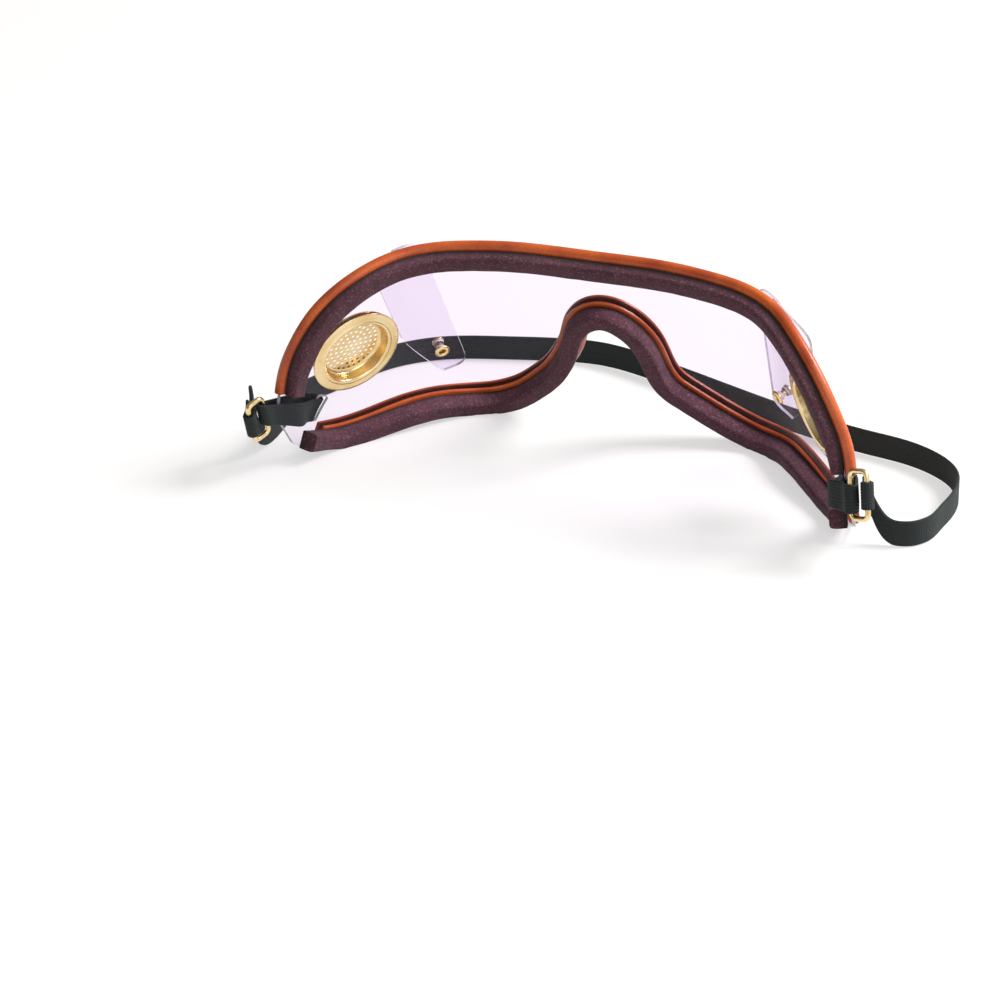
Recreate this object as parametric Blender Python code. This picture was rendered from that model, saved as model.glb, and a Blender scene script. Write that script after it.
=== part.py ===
"""One-piece wrap-around riding goggles, put down on a table on their lower edge.

A clear sheet, cut flat, is bent round the face and edged above and below with a leather channel. A foam
strip lies on the face side of each channel. A brass cup vents each temple, under a clear scoop held by two
eyelets, and a band of elastic ties a brass ring to each tip. The strap runs from ring to ring. X runs
across, the face side looks along -Y, +Z is up, and lengths are in metres.
"""

import math

import bmesh
import bpy
import numpy as np
from mathutils import Vector

for old in list(bpy.data.objects):
    bpy.data.objects.remove(old, do_unlink=True)

# Fits
GAP = 0.0003
OVERRUN = 0.002

# The sheet: u is the distance along it from the nose, and v the height across it
SHEET_HALF_LENGTH = 0.110
TIP_START_SHARE = 0.545
TIP_STATIONS = 18
SHEET_TOP = 0.0335
SHEET_BOTTOM = 0.0465
SHEET_THICKNESS = 0.001
TIP_CORNER = 0.003
STATIONS = 72
NOSE_CROWDING_SHARE = 1.5
NOSE_REACH_SHARE = 0.3
TABLE_REACH_SHARE = 1.4
TABLE_POINTS = 1401
SHARP_ANGLE = math.radians(40)

# Edges from the nose to a tip, as shares of the half length and of the top or bottom. The left leg of the
# nose arch was cut wider than the right one
BROW_SHARE = (0, 0.885)
TOP_EDGE_SHARES = ((0.23, 0.93), (0.45, 0.955), (0.62, 1.015), (0.76, 0.905), (0.87, 0.605))
TOP_END_SHARE = (0.982, 0.155)
NOSE_TOP_SHARE = (0, -0.02)
LEFT_LEG_SHARES = ((0.055, 0.08), (0.103, 0.36), (0.145, 0.555), (0.17, 0.645), (0.22, 0.775))
RIGHT_LEG_SHARES = ((0.055, 0.08), (0.091, 0.36), (0.126, 0.635), (0.19, 0.77))
BOTTOM_EDGE_SHARES = (
    (0.31, 0.94),
    (0.41, 1.0),
    (0.51, 0.935),
    (0.62, 0.79),
    (0.76, 0.66),
    (0.9, 0.52),
    (0.975, 0.36),
)
BOTTOM_END_SHARE = (1.015, 0.235)

# How the sheet is bent: an even curve over the nose, a tighter one at each temple and one before each tip
FRONT_BEND = math.radians(17.7)
CORNER_BEND = math.radians(30.9)
TIP_BEND = math.radians(27.0)
CORNER_START_SHARE = 0.331
CORNER_END_SHARE = 0.5955
TIP_BEND_START_SHARE = 0.8545
TIP_BEND_END_SHARE = 0.9636
CONE_APEX_DROP = 1.01
STEEPEST_LEAN = math.radians(60)
LEAN_HALVINGS = 50

# Leather channel over each edge. The lower one reaches deeper, except toward the tips
CHANNEL_WALL = 0.0009
CHANNEL_REACH = 0.0064
DEEP_CHANNEL_REACH = 0.0070
DEEP_START_SHARE = 0.66
DEEP_END_SHARE = 0.80
CROWN_POINTS = 6

# Foam strips
FOAM_WIDTH = 0.0057
TOP_FOAM_DEPTH = 0.0036
BOTTOM_FOAM_DEPTH = 0.0050
FOAM_INSET = 0.0030
FOAM_CHAMFER = 0.0010
FOAM_FLAT = 0.0005
TOP_STRIP_CUT = 0.0052
BOTTOM_CHANNEL_CUT = 0.0142
BOTTOM_FOAM_CUT = 0.0028

# Vents
VENT_U_SHARE = 0.7155
VENT_V = 0.0045
CUP_RADIUS_SHARE = 0.1
CUP_FLANGE = 0.0034
CUP_DEPTH = 0.0030
CUP_WALL = 0.0005
VENT_HOLE_RADIUS = 0.0007
VENT_HOLE_PITCH = 0.0025
VENT_HOLE_RINGS = 3
HOLES_IN_FIRST_RING = 6
VENT_HOLE_SIDES = 6
VENT_RING_WIDTH = 0.0026
VENT_RING_THICKNESS = 0.0008
ROUND_SIDES = 36

# Scoops
SCOOP_START_SHARE = 0.4455
SCOOP_FLAT = 0.0075
SCOOP_WIDTH = 0.0140
SCOOP_TOP = 0.0325
SCOOP_LOW = 0.0290
SCOOP_TAPER = 0.0130
SCOOP_RISE = 0.0050
SCOOP_THICKNESS = 0.0008
SCOOP_CORNER = 0.0040
SCOOP_STATIONS = 14
CORNER_STATIONS = 4

# Eyelets
EYELET_U_SHARE = 0.498
UPPER_EYELET_V = 0.0288
LOWER_EYELET_V = -0.0162
EYELET_HEAD_RADIUS = 0.0020
EYELET_BARREL_RADIUS = 0.0012
EYELET_BORE_RADIUS = 0.0007
EYELET_HEAD = 0.0006
EYELET_SIDES = 12

# Anchor bands and their slots
SLOT_U_SHARE = 0.891
SLOT_V = -0.0078
SLOT_WIDTH = 0.0034
SLOT_PLAY = 0.0010
SLOT_TURN = math.radians(49)
BAND_WIDTH = 0.0084
BAND_THICKNESS = 0.0010
BAND_BULGE_LEFT = 0.0030
BAND_BULGE_RIGHT = 0.0050
BAND_STATIONS = 12
BELT_STATIONS = 8

# Rings: each hangs by its inner bar in a band, which twists where the ring is tilted
RING_WIRE = 0.0016
RING_HEIGHT = 0.0120
RING_REACH = 0.0038
RING_CORNER = 0.0016
RING_FROM_SLOT = 0.0226
RING_RISE_LEFT = 0
RING_RISE_RIGHT = 0.0012
RING_TILT_LEFT = math.radians(34)
RING_TILT_RIGHT = 0
RING_SWING_LEFT = math.radians(12)
RING_SWING_RIGHT = math.radians(58)

# Strap: its route on the table from the left ring, behind the sheet, round its loop and to the right ring
STRAP_REACH_SHARE = 0.991
STRAP_ROUTE_SHARES = (
    (-0.89, -0.345, 0.05),
    (-0.888, -0.28, 0.008),
    (-0.889, -0.21, 0),
    (-0.896, -0.11, 0),
    (-0.904, 0, 0),
    (-0.86, 0.115, 0),
    (-0.74, 0.36, 0),
    (-0.62, 0.458, 0),
    (-0.48, 0.506, 0),
    (-0.34, 0.543, 0),
    (-0.19, 0.558, 0),
    (-0.05, 0.517, 0),
    (0.2, 0.405, 0),
    (0.45, 0.292, 0),
    (0.69, 0.212, 0),
    (0.79, 0.187, 0),
    (0.89, 0.135, 0),
    (0.96, 0.06, 0),
    (0.99, -0.04, 0),
    (0.99, -0.12, 0),
    (0.982, -0.182, 0),
    (0.97, -0.255, 0),
    (0.932, -0.306, 0),
    (0.88, -0.317, 0.004),
    (0.845, -0.312, 0.035),
    (0.825, -0.318, 0.08),
)
STRAP_WIDTH = 0.0078
STRAP_THICKNESS = 0.0010
FOLD_REACH = 0.0086
STRAP_TWIST = 0.0100
STRAP_STATIONS = 100
FOLD_STATIONS = 8
FOLD_TURN_LEFT = math.radians(132)
FOLD_TURN_RIGHT = math.radians(125)
WIRE_SIDES = 8

# Places that keep to the length of the sheet
TIP_START = TIP_START_SHARE * SHEET_HALF_LENGTH
CORNER_START = CORNER_START_SHARE * SHEET_HALF_LENGTH
CORNER_END = CORNER_END_SHARE * SHEET_HALF_LENGTH
TIP_BEND_START = TIP_BEND_START_SHARE * SHEET_HALF_LENGTH
TIP_BEND_END = TIP_BEND_END_SHARE * SHEET_HALF_LENGTH
DEEP_START = DEEP_START_SHARE * SHEET_HALF_LENGTH
DEEP_END = DEEP_END_SHARE * SHEET_HALF_LENGTH
VENT_U = VENT_U_SHARE * SHEET_HALF_LENGTH
CUP_RADIUS = CUP_RADIUS_SHARE * SHEET_HALF_LENGTH
CUP_FLANGE_RADIUS = CUP_RADIUS + CUP_FLANGE
VENT_RING_RADIUS = CUP_RADIUS + VENT_RING_WIDTH
SCOOP_START = SCOOP_START_SHARE * SHEET_HALF_LENGTH
SCOOP_FLAT_END = SCOOP_START + SCOOP_FLAT
SCOOP_END = SCOOP_START + SCOOP_WIDTH
EYELET_U = EYELET_U_SHARE * SHEET_HALF_LENGTH
SLOT_U = SLOT_U_SHARE * SHEET_HALF_LENGTH
STRAP_REACH = STRAP_REACH_SHARE * SHEET_HALF_LENGTH


def material(name, colour, roughness, metallic=0.0, alpha=1.0):
    made = bpy.data.materials.new(name)
    made.use_nodes = True
    shader = made.node_tree.nodes["Principled BSDF"]
    shader.inputs["Base Color"].default_value = (*colour, 1.0)
    shader.inputs["Roughness"].default_value = roughness
    shader.inputs["Metallic"].default_value = metallic
    shader.inputs["Alpha"].default_value = alpha
    return made


def add_object(name, mesh, look, origin=(0, 0, 0)):
    """A mesh given in world places becomes an object whose origin is the given point."""
    bmesh.ops.recalc_face_normals(mesh, faces=mesh.faces)
    bmesh.ops.translate(mesh, verts=mesh.verts, vec=-Vector(origin))
    data = bpy.data.meshes.new(name)
    mesh.to_mesh(data)
    mesh.free()
    data.shade_smooth()
    data.set_sharp_from_angle(angle=SHARP_ANGLE)
    made = bpy.data.objects.new(name, data)
    made.location = origin
    if look:
        data.materials.append(look)
    bpy.context.scene.collection.objects.link(made)
    return made


def skinned(rings, closed=False):
    """A solid through rings of points: capped at both ends, or closed on itself."""
    mesh = bmesh.new()
    verts = [[mesh.verts.new(point) for point in ring] for ring in rings]
    count = len(verts[0])
    pairs = list(zip(verts, verts[1:] + verts[:1]))
    for here, there in pairs if closed else pairs[:-1]:
        for k in range(count):
            after = (k + 1) % count
            mesh.faces.new((here[k], here[after], there[after], there[k]))
    if not closed:
        mesh.faces.new(verts[0])
        mesh.faces.new(verts[-1])
    return mesh


def cut(target, cutter):
    """Takes the cutter away from the target, and keeps the cutter as a hidden guide."""
    cutter.hide_render = True
    cutter.display_type = "WIRE"
    modifier = target.modifiers.new(cutter.name, "BOOLEAN")
    modifier.operation = "DIFFERENCE"
    modifier.solver = "EXACT"
    modifier.object = cutter


def smooth_step(share):
    share = np.clip(share, 0, 1)
    return share * share * (3 - 2 * share)


def crowded_shares(count):
    """Shares of a length at which stations lie, closer together in its middle."""
    places = np.linspace(-1, 1, count * count)
    density = 1 + NOSE_CROWDING_SHARE * np.exp(-((places / NOSE_REACH_SHARE) ** 2))
    total = np.cumsum(density)
    total = (total - total[0]) / (total[-1] - total[0])
    return (1 + np.interp(np.linspace(0, 1, count), total, places)) / 2


def spline(points, shares):
    """Points at the given shares of a natural cubic curve through the given ones."""
    points = np.array(points, float)
    steps = np.linalg.norm(np.diff(points, axis=0), axis=1)
    along = np.concatenate([[0], np.cumsum(steps)])
    size = len(points)
    system = np.eye(size)
    right = np.zeros_like(points)
    for k in range(1, size - 1):
        system[k, k - 1 : k + 2] = steps[k - 1], 2 * (steps[k - 1] + steps[k]), steps[k]
        right[k] = 6 * ((points[k + 1] - points[k]) / steps[k] - (points[k] - points[k - 1]) / steps[k - 1])
    bend = np.linalg.solve(system, right)
    where = shares * along[-1]
    k = np.clip(np.searchsorted(along, where) - 1, 0, size - 2)
    step = steps[k][:, None]
    a = ((along[k + 1] - where) / steps[k])[:, None]
    b = 1 - a
    bow = ((a**3 - a) * bend[k] + (b**3 - b) * bend[k + 1]) * step**2 / 6
    return a * points[k] + b * points[k + 1] + bow


def heading(u):
    """How far the sheet has turned from the X axis at the distance u from the nose."""
    along = np.abs(u)
    corner = smooth_step((along - CORNER_START) / (CORNER_END - CORNER_START))
    tip = smooth_step((along - TIP_BEND_START) / (TIP_BEND_END - TIP_BEND_START))
    front = np.minimum(along / CORNER_END, 1)
    return np.sign(u) * (FRONT_BEND * front + CORNER_BEND * corner + TIP_BEND * tip)


FAR = TABLE_REACH_SHARE * SHEET_HALF_LENGTH
TABLE_U = np.linspace(-FAR, FAR, TABLE_POINTS)
TABLE_STEP = TABLE_U[1] - TABLE_U[0]
TURNS = heading(TABLE_U)


def summed(values):
    """The running integral of the values over the table, zero at the nose."""
    total = np.concatenate([[0], np.cumsum((values[1:] + values[:-1]) / 2)]) * TABLE_STEP
    return total - np.interp(0, TABLE_U, total)


TABLE_X = summed(np.cos(TURNS))
TABLE_Y = -summed(np.sin(TURNS))


def bent(u, v, depth):
    """The bent sheet before it leans: depth is the distance off its inner face, toward the wearer."""
    u, v, depth = np.broadcast_arrays(*(np.asarray(value, float) for value in (u, v, depth)))
    x = np.interp(u, TABLE_U, TABLE_X)
    y = np.interp(u, TABLE_U, TABLE_Y)
    turn = np.interp(u, TABLE_U, TURNS)
    flare = 1 + v / CONE_APEX_DROP
    rise = (y * np.cos(turn) + x * np.sin(turn)) / CONE_APEX_DROP
    normal = np.stack([-np.sin(turn), -np.cos(turn), rise], -1)
    normal /= np.linalg.norm(normal, axis=-1, keepdims=True)
    return np.stack([x * flare, y * flare, v], -1) + depth[..., None] * normal


def leaned(points, lean):
    """Turns points about the X axis, so that the top comes toward the wearer."""
    x, y, z = np.moveaxis(np.asarray(points), -1, 0)
    cos, sin = math.cos(lean), math.sin(lean)
    return np.stack([x, y * cos - z * sin, y * sin + z * cos], -1)


def edge_line(left_shares, nose_share, right_shares, height):
    """One whole edge of the flat sheet from tip to tip, with its outward normals, as (places, normals)."""
    shares = [(-share_u, share_v) for share_u, share_v in left_shares[::-1]]
    shares += [nose_share, *right_shares]
    points = [(share_u * SHEET_HALF_LENGTH, share_v * height) for share_u, share_v in shares]
    places = spline(points, crowded_shares(2 * STATIONS + 1))
    along = np.gradient(places, axis=0)
    along /= np.linalg.norm(along, axis=1, keepdims=True)
    outward = np.stack([-along[:, 1], along[:, 0]], 1) * np.sign(height)
    return places, outward


TOP_SIDE_SHARES = (*TOP_EDGE_SHARES, TOP_END_SHARE)
TOP_EDGE, TOP_OUTWARD = edge_line(TOP_SIDE_SHARES, BROW_SHARE, TOP_SIDE_SHARES, SHEET_TOP)
LEFT_SIDE_SHARES = (*LEFT_LEG_SHARES, *BOTTOM_EDGE_SHARES, BOTTOM_END_SHARE)
RIGHT_SIDE_SHARES = (*RIGHT_LEG_SHARES, *BOTTOM_EDGE_SHARES, BOTTOM_END_SHARE)
BOTTOM_EDGE, BOTTOM_OUTWARD = edge_line(LEFT_SIDE_SHARES, NOSE_TOP_SHARE, RIGHT_SIDE_SHARES, -SHEET_BOTTOM)


def shortened(places, outward, length):
    """The edge without the given length at each end."""
    steps = np.linalg.norm(np.diff(places, axis=0), axis=1)
    along = np.concatenate([[0], np.cumsum(steps)])
    where = length + crowded_shares(STATIONS) * (along[-1] - 2 * length)
    line = np.stack([np.interp(where, along, places[:, k]) for k in (0, 1)], 1)
    out = np.stack([np.interp(where, along, outward[:, k]) for k in (0, 1)], 1)
    return line, out / np.linalg.norm(out, axis=1, keepdims=True)


TOP_STRIP = shortened(TOP_EDGE, TOP_OUTWARD, TOP_STRIP_CUT)
BOTTOM_CHANNEL_STRIP = shortened(BOTTOM_EDGE, BOTTOM_OUTWARD, BOTTOM_CHANNEL_CUT)
BOTTOM_FOAM_STRIP = shortened(BOTTOM_EDGE, BOTTOM_OUTWARD, BOTTOM_FOAM_CUT)
FOAM_BASE = GAP + CHANNEL_WALL + GAP


def foam_section(foam_depth):
    """Section through a foam strip, as (distance beyond the sheet's edge, depth), chamfered at the face."""
    near = FOAM_WIDTH / 2 - FOAM_INSET
    far = -FOAM_WIDTH / 2 - FOAM_INSET
    face = FOAM_BASE + foam_depth
    return [
        (far, FOAM_BASE),
        (near, FOAM_BASE),
        (near, face - FOAM_CHAMFER),
        (near - FOAM_CHAMFER, face),
        (far + FOAM_CHAMFER, face),
        (far, face - FOAM_CHAMFER),
    ]


def foam_low_points(lean):
    """The lowest point of the bottom foam under the lobes, and the lowest one of its ends, in that order."""
    line, out = BOTTOM_FOAM_STRIP
    heights = []
    for beyond, depth in foam_section(BOTTOM_FOAM_DEPTH):
        outer = line + out * beyond
        heights.append(leaned(bent(outer[:, 0], outer[:, 1], depth), lean)[:, 2])
    low = np.min(heights, axis=0)
    middle = np.abs(line[:, 0]) < CORNER_END
    return low[middle].min(), low[~middle].min()


def resting_lean():
    """The lean at which the goggles stand on both lobes and both ends of the bottom foam."""
    least, most = 0, STEEPEST_LEAN
    for _ in range(LEAN_HALVINGS):
        lean = (least + most) / 2
        lobe, end = foam_low_points(lean)
        if end > lobe:
            least = lean
        else:
            most = lean
    return lean


LEAN = resting_lean()
LIFT = -foam_low_points(LEAN)[0] - FOAM_FLAT


def place(u, v, depth):
    """Where a point of the flat sheet comes to lie when the goggles rest on the table."""
    return leaned(bent(u, v, depth), LEAN) + (0, 0, LIFT)


def frame_at(u, v):
    """Origin on the inner face, unit vectors along the sheet, up it and toward the wearer."""
    step = GAP
    origin = place(u, v, 0)
    inward = place(u, v, step) - origin
    up = place(u, v + step, 0) - origin
    inward /= np.linalg.norm(inward)
    along = np.cross(up, inward)
    along /= np.linalg.norm(along)
    return origin, along, np.cross(inward, along), inward


def circle(base, radius, depth, sides, centre=(0, 0)):
    """Points of a circle beside the sheet, whose centre may lie aside along it and up it."""
    origin, along, up, inward = base
    middle = origin + centre[0] * along + centre[1] * up + depth * inward
    angles = [math.tau * k / sides for k in range(sides)]
    return [middle + radius * (math.cos(angle) * along + math.sin(angle) * up) for angle in angles]


def turned(name, profile, base, look, sides):
    """A solid of revolution about the sheet's normal, whose profile of (radius, depth) may touch the axis."""
    mesh = bmesh.new()
    rows = []
    for radius, depth in profile:
        if radius:
            rows.append([mesh.verts.new(point) for point in circle(base, radius, depth, sides)])
        else:
            rows.append([mesh.verts.new(base[0] + depth * base[3])] * sides)
    for here, there in zip(rows, rows[1:] + rows[:1]):
        for k in range(sides):
            after = (k + 1) % sides
            corners = list(dict.fromkeys((here[k], here[after], there[after], there[k])))
            if len(corners) > 2:
                mesh.faces.new(corners)
    return add_object(name, mesh, look)


def drill(name, base, radius, inner, outer, sides):
    """A cutter on the sheet's normal, from the inner to the outer depth."""
    rings = [circle(base, radius, depth, sides) for depth in (inner, outer)]
    return add_object(name, skinned(rings), None)


def channel_section(reach):
    """Section through a channel, as (distance beyond the sheet's edge, depth)."""
    half = SHEET_THICKNESS / 2 + GAP + CHANNEL_WALL
    middle = -SHEET_THICKNESS / 2
    crown = GAP + CHANNEL_WALL - half
    section = [(-reach, middle + half)]
    for angle in np.linspace(math.pi / 2, -math.pi / 2, CROWN_POINTS):
        section.append((crown + half * math.cos(angle), middle + half * math.sin(angle)))
    section.append((-reach, middle - half))
    inner = half - CHANNEL_WALL
    for beyond in (-reach, -reach / 2, GAP):
        section.append((beyond, middle - inner))
    for beyond in (GAP, -reach / 2, -reach):
        section.append((beyond, middle + inner))
    return section


def bottom_channel_section(u):
    """The lower channel's section at a distance from the nose."""
    share = smooth_step((DEEP_END - abs(u)) / (DEEP_END - DEEP_START))
    return channel_section(CHANNEL_REACH + (DEEP_CHANNEL_REACH - CHANNEL_REACH) * share)


def swept(name, strip, section_at, look):
    """A section, which may change with the distance from the nose, carried along an edge of the sheet."""
    line, out = strip
    rings = []
    for base, normal in zip(line, out):
        rings.append([place(*(base + normal * beyond), depth) for beyond, depth in section_at(base[0])])
    return add_object(name, skinned(rings), look)


def make_sheet(look):
    """The clear sheet, as strips between its two edges, with rounded tips."""
    inside = np.abs(BOTTOM_EDGE[:, 0]) < TIP_START
    side = np.linspace(TIP_START, SHEET_HALF_LENGTH - TIP_CORNER, TIP_STATIONS)[:-1]
    rounding = SHEET_HALF_LENGTH - TIP_CORNER + TIP_CORNER * np.sin(np.linspace(0, math.pi / 2, CORNER_STATIONS))
    stations = np.concatenate([-rounding[::-1], -side[::-1], BOTTOM_EDGE[inside, 0], side, rounding])
    top = np.interp(stations, TOP_EDGE[:, 0], TOP_EDGE[:, 1])
    bottom = np.interp(stations, BOTTOM_EDGE[:, 0], BOTTOM_EDGE[:, 1])
    beyond = np.maximum(np.abs(stations) - (SHEET_HALF_LENGTH - TIP_CORNER), 0)
    drop = TIP_CORNER - np.sqrt(np.maximum(TIP_CORNER**2 - beyond**2, 0))
    rings = []
    for u, low, high in zip(stations, bottom + drop, top - drop):
        corners = ((low, 0), (high, 0), (high, -SHEET_THICKNESS), (low, -SHEET_THICKNESS))
        rings.append([place(u, v, depth) for v, depth in corners])
    return add_object("lens", skinned(rings), look)


def slot_place(side, along, across, depth, tilt=0):
    """A point of the anchor band's own grid: along it from the slot, and across it. The tilt is reached at
    the ring."""
    turn = tilt * smooth_step(along / RING_FROM_SLOT)
    along = RING_FROM_SLOT + (along - RING_FROM_SLOT) / math.cos(turn) + across * math.sin(turn)
    across = across * math.cos(turn)
    u = SLOT_U + along * math.cos(SLOT_TURN) - across * math.sin(SLOT_TURN)
    v = SLOT_V + along * math.sin(SLOT_TURN) + across * math.cos(SLOT_TURN)
    return place(side * u, v, depth)


def slot_cutter(name, side):
    half = BAND_WIDTH / 2 + SLOT_PLAY / 2
    rings = []
    for along in (-SLOT_WIDTH, 0):
        corners = ((-half, OVERRUN), (half, OVERRUN), (half, -OVERRUN), (-half, -OVERRUN))
        rings.append([slot_place(side, along, across, depth) for across, depth in corners])
    return add_object(name, skinned(rings), None)


def ribbon_rings(path, normals, across, width, thickness):
    """Rectangular rings for a webbing: its path, its face normals and the direction of its width."""
    rings = []
    for point, normal, direction in zip(path, normals, across):
        half_width = direction * width / 2
        half_thickness = normal * thickness / 2
        rings.append(
            [
                point - half_width - half_thickness,
                point + half_width - half_thickness,
                point + half_width + half_thickness,
                point - half_width + half_thickness,
            ]
        )
    return rings


def belt(first, first_radius, second, second_radius):
    """A closed loop round two circles in a plane, as (points, outward normals)."""
    first, second = np.array(first), np.array(second)
    reach = np.linalg.norm(second - first)
    ahead = (second - first) / reach
    aside = np.array([-ahead[1], ahead[0]])
    lean = math.asin((second_radius - first_radius) / reach)
    points, normals = [], []
    for centre, radius, start, sweep in (
        (first, first_radius, math.pi / 2 + lean, math.pi - 2 * lean),
        (second, second_radius, -math.pi / 2 - lean, math.pi + 2 * lean),
    ):
        for k in range(BELT_STATIONS + 1):
            angle = start + sweep * k / BELT_STATIONS
            normal = ahead * math.cos(angle) + aside * math.sin(angle)
            points.append(centre + radius * normal)
            normals.append(normal)
    return np.array(points), np.array(normals)


def make_band(name, side, bulge, tilt, look):
    """The elastic loop: through the slot, round the tip and round the ring's inner bar."""
    middle = -SHEET_THICKNESS / 2
    slot_radius = -middle + GAP + BAND_THICKNESS / 2
    bar_radius = RING_WIRE / 2 + GAP + BAND_THICKNESS / 2
    points, normals = belt((0, middle), slot_radius, (RING_FROM_SLOT, middle), bar_radius)
    count = len(points) // 2
    shares = np.linspace(0, 1, BAND_STATIONS)[1:-1, None]
    outer = points[count - 1] + (points[count] - points[count - 1]) * shares
    inner = points[-1] + (points[0] - points[-1]) * shares
    loop = [*points[:count], *outer, *points[count:], *inner]
    facing = [*normals[:count], *[normals[count]] * len(outer), *normals[count:], *[normals[0]] * len(inner)]
    rings = []
    for (along, depth), (ahead, off) in zip(loop, facing):
        share = min(max(along / RING_FROM_SLOT, 0), 1)
        swell = bulge * math.sin(math.pi * share) ** 2 if depth > middle else 0
        ring = []
        for across, face in ((-1, -1), (1, -1), (1, 1), (-1, 1)):
            half = face * BAND_THICKNESS / 2
            there = along + ahead * half, across * BAND_WIDTH / 2, depth + swell + off * half
            ring.append(slot_place(side, *there, tilt))
        rings.append(ring)
    return add_object(name, skinned(rings, closed=True), look)


def ring_frame(side, swing, rise, turn, tilt):
    """The hinge point on the ring's inner bar, unit vectors up the bar, across the ring and off it, and the
    turn of the fold."""
    depth = -SHEET_THICKNESS / 2
    hinge = slot_place(side, RING_FROM_SLOT, 0, depth)
    up = slot_place(side, RING_FROM_SLOT, BAND_WIDTH, depth, tilt) - hinge
    up /= np.linalg.norm(up)
    ahead = hinge - slot_place(side, RING_FROM_SLOT - BAND_WIDTH / 2, 0, depth)
    ahead -= up * (ahead @ up)
    ahead /= np.linalg.norm(ahead)
    aside = np.cross(up, ahead) * side
    out = ahead * math.cos(swing) + aside * math.sin(swing)
    return hinge + up * rise, up, out, np.cross(up, out) * side, turn


def make_ring(name, frame, look):
    """A rectangular ring of round wire, whose inner bar is the hinge."""
    hinge, up, out, away, _ = frame
    half_up = RING_HEIGHT / 2 + RING_WIRE / 2
    reach = RING_REACH + RING_WIRE
    path = []
    for centre_out, centre_up, start in (
        (reach - RING_CORNER, half_up - RING_CORNER, 0),
        (RING_CORNER, half_up - RING_CORNER, 1),
        (RING_CORNER, RING_CORNER - half_up, 2),
        (reach - RING_CORNER, RING_CORNER - half_up, 3),
    ):
        for k in range(CORNER_STATIONS):
            angle = math.pi / 2 * (start + k / (CORNER_STATIONS - 1))
            radial = out * math.cos(angle) + up * math.sin(angle)
            path.append((hinge + out * centre_out + up * centre_up + RING_CORNER * radial, radial))
    rings = []
    for point, radial in path:
        ring = []
        for k in range(WIRE_SIDES):
            angle = math.tau * (k + 0.5) / WIRE_SIDES
            ring.append(point + RING_WIRE / 2 * (radial * math.cos(angle) + away * math.sin(angle)))
        rings.append(ring)
    return add_object(name, skinned(rings, closed=True), look, hinge)


def fold_frame(frame):
    """The ring's outer bar, the way the strap leaves it, and the way from one ply to the other."""
    hinge, up, out, away, turn = frame
    bar = hinge + out * (RING_REACH + RING_WIRE)
    leaving = out * math.cos(turn) + away * math.sin(turn)
    return bar, leaving, np.cross(up, leaving)


def ply_end(frame, reach, near, far):
    """The end of a ply, between two offsets from the fold's middle. It lies at one distance from the hinge."""
    hinge, up = frame[:2]
    bar, leaving, sideways = fold_frame(frame)
    ring = []
    for offset, half in ((near, -1), (near, 1), (far, 1), (far, -1)):
        foot = bar - hinge + sideways * offset
        ahead = foot @ leaving
        length = math.sqrt(reach**2 - foot @ foot + ahead**2) - ahead
        ring.append(hinge + foot + leaving * length + up * half * STRAP_WIDTH / 2)
    return ring


def make_strap_end(name, frame, look):
    """The fold of the strap round the ring's outer bar, with a ply on each side of it."""
    bar, leaving, sideways = fold_frame(frame)
    radius = RING_WIRE / 2 + GAP + STRAP_THICKNESS / 2
    lean = math.asin((radius - GAP) / FOLD_REACH)
    path = []
    for angle in np.linspace(math.pi / 2 + lean, 3 * math.pi / 2 - lean, FOLD_STATIONS):
        path.append((math.cos(angle), math.sin(angle)))
    normals = [leaving * ahead + sideways * aside for ahead, aside in path]
    points = [bar + radius * normal for normal in normals]
    rings = ribbon_rings(points, normals, [frame[1]] * len(points), STRAP_WIDTH, STRAP_THICKNESS)
    near, far = GAP / 2, GAP / 2 + STRAP_THICKNESS
    rings = [ply_end(frame, FOLD_REACH, near, far), *rings, ply_end(frame, FOLD_REACH, -near, -far)]
    return add_object(name, skinned(rings), look, frame[0])


def make_strap(name, frames, look):
    """The flat strap, on edge along its route, between its two folds, where it turns with their bars."""
    half = STRAP_THICKNESS / 2
    caps = [
        ply_end(frame, FOLD_REACH + GAP, -half * way, half * way) for frame, way in zip(frames, (1, -1))
    ]
    starts = []
    for frame, cap in zip(frames, caps):
        leaving = fold_frame(frame)[1]
        middle = sum(cap) / len(cap)
        starts.append([middle, middle + leaving * STRAP_THICKNESS])
    lift = (0, 0, GAP + STRAP_WIDTH / 2)
    route = [STRAP_REACH * np.array(share) + lift for share in STRAP_ROUTE_SHARES]
    path = spline([*starts[0], *route, *starts[1][::-1]], np.linspace(0, 1, STRAP_STATIONS))
    path[:, 2] = np.maximum(path[:, 2], lift[2])
    ahead = np.gradient(path, axis=0)
    steps = np.linalg.norm(np.diff(path, axis=0), axis=1)
    along = np.concatenate([[0], np.cumsum(steps)])
    upright = np.array([0, 0, 1])
    across, facing = [], []
    for place_along, direction in zip(along, ahead):
        width = upright
        for frame, distance in zip(frames, (place_along, along[-1] - place_along)):
            width = width + (frame[1] - upright) * (1 - smooth_step(distance / STRAP_TWIST))
        normal = np.cross(width, direction)
        across.append(width / np.linalg.norm(width))
        facing.append(normal / np.linalg.norm(normal))
    rings = ribbon_rings(path, facing, across, STRAP_WIDTH, STRAP_THICKNESS)
    return add_object(name, skinned([caps[0], *rings[1:-1], caps[1]]), look)


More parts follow.
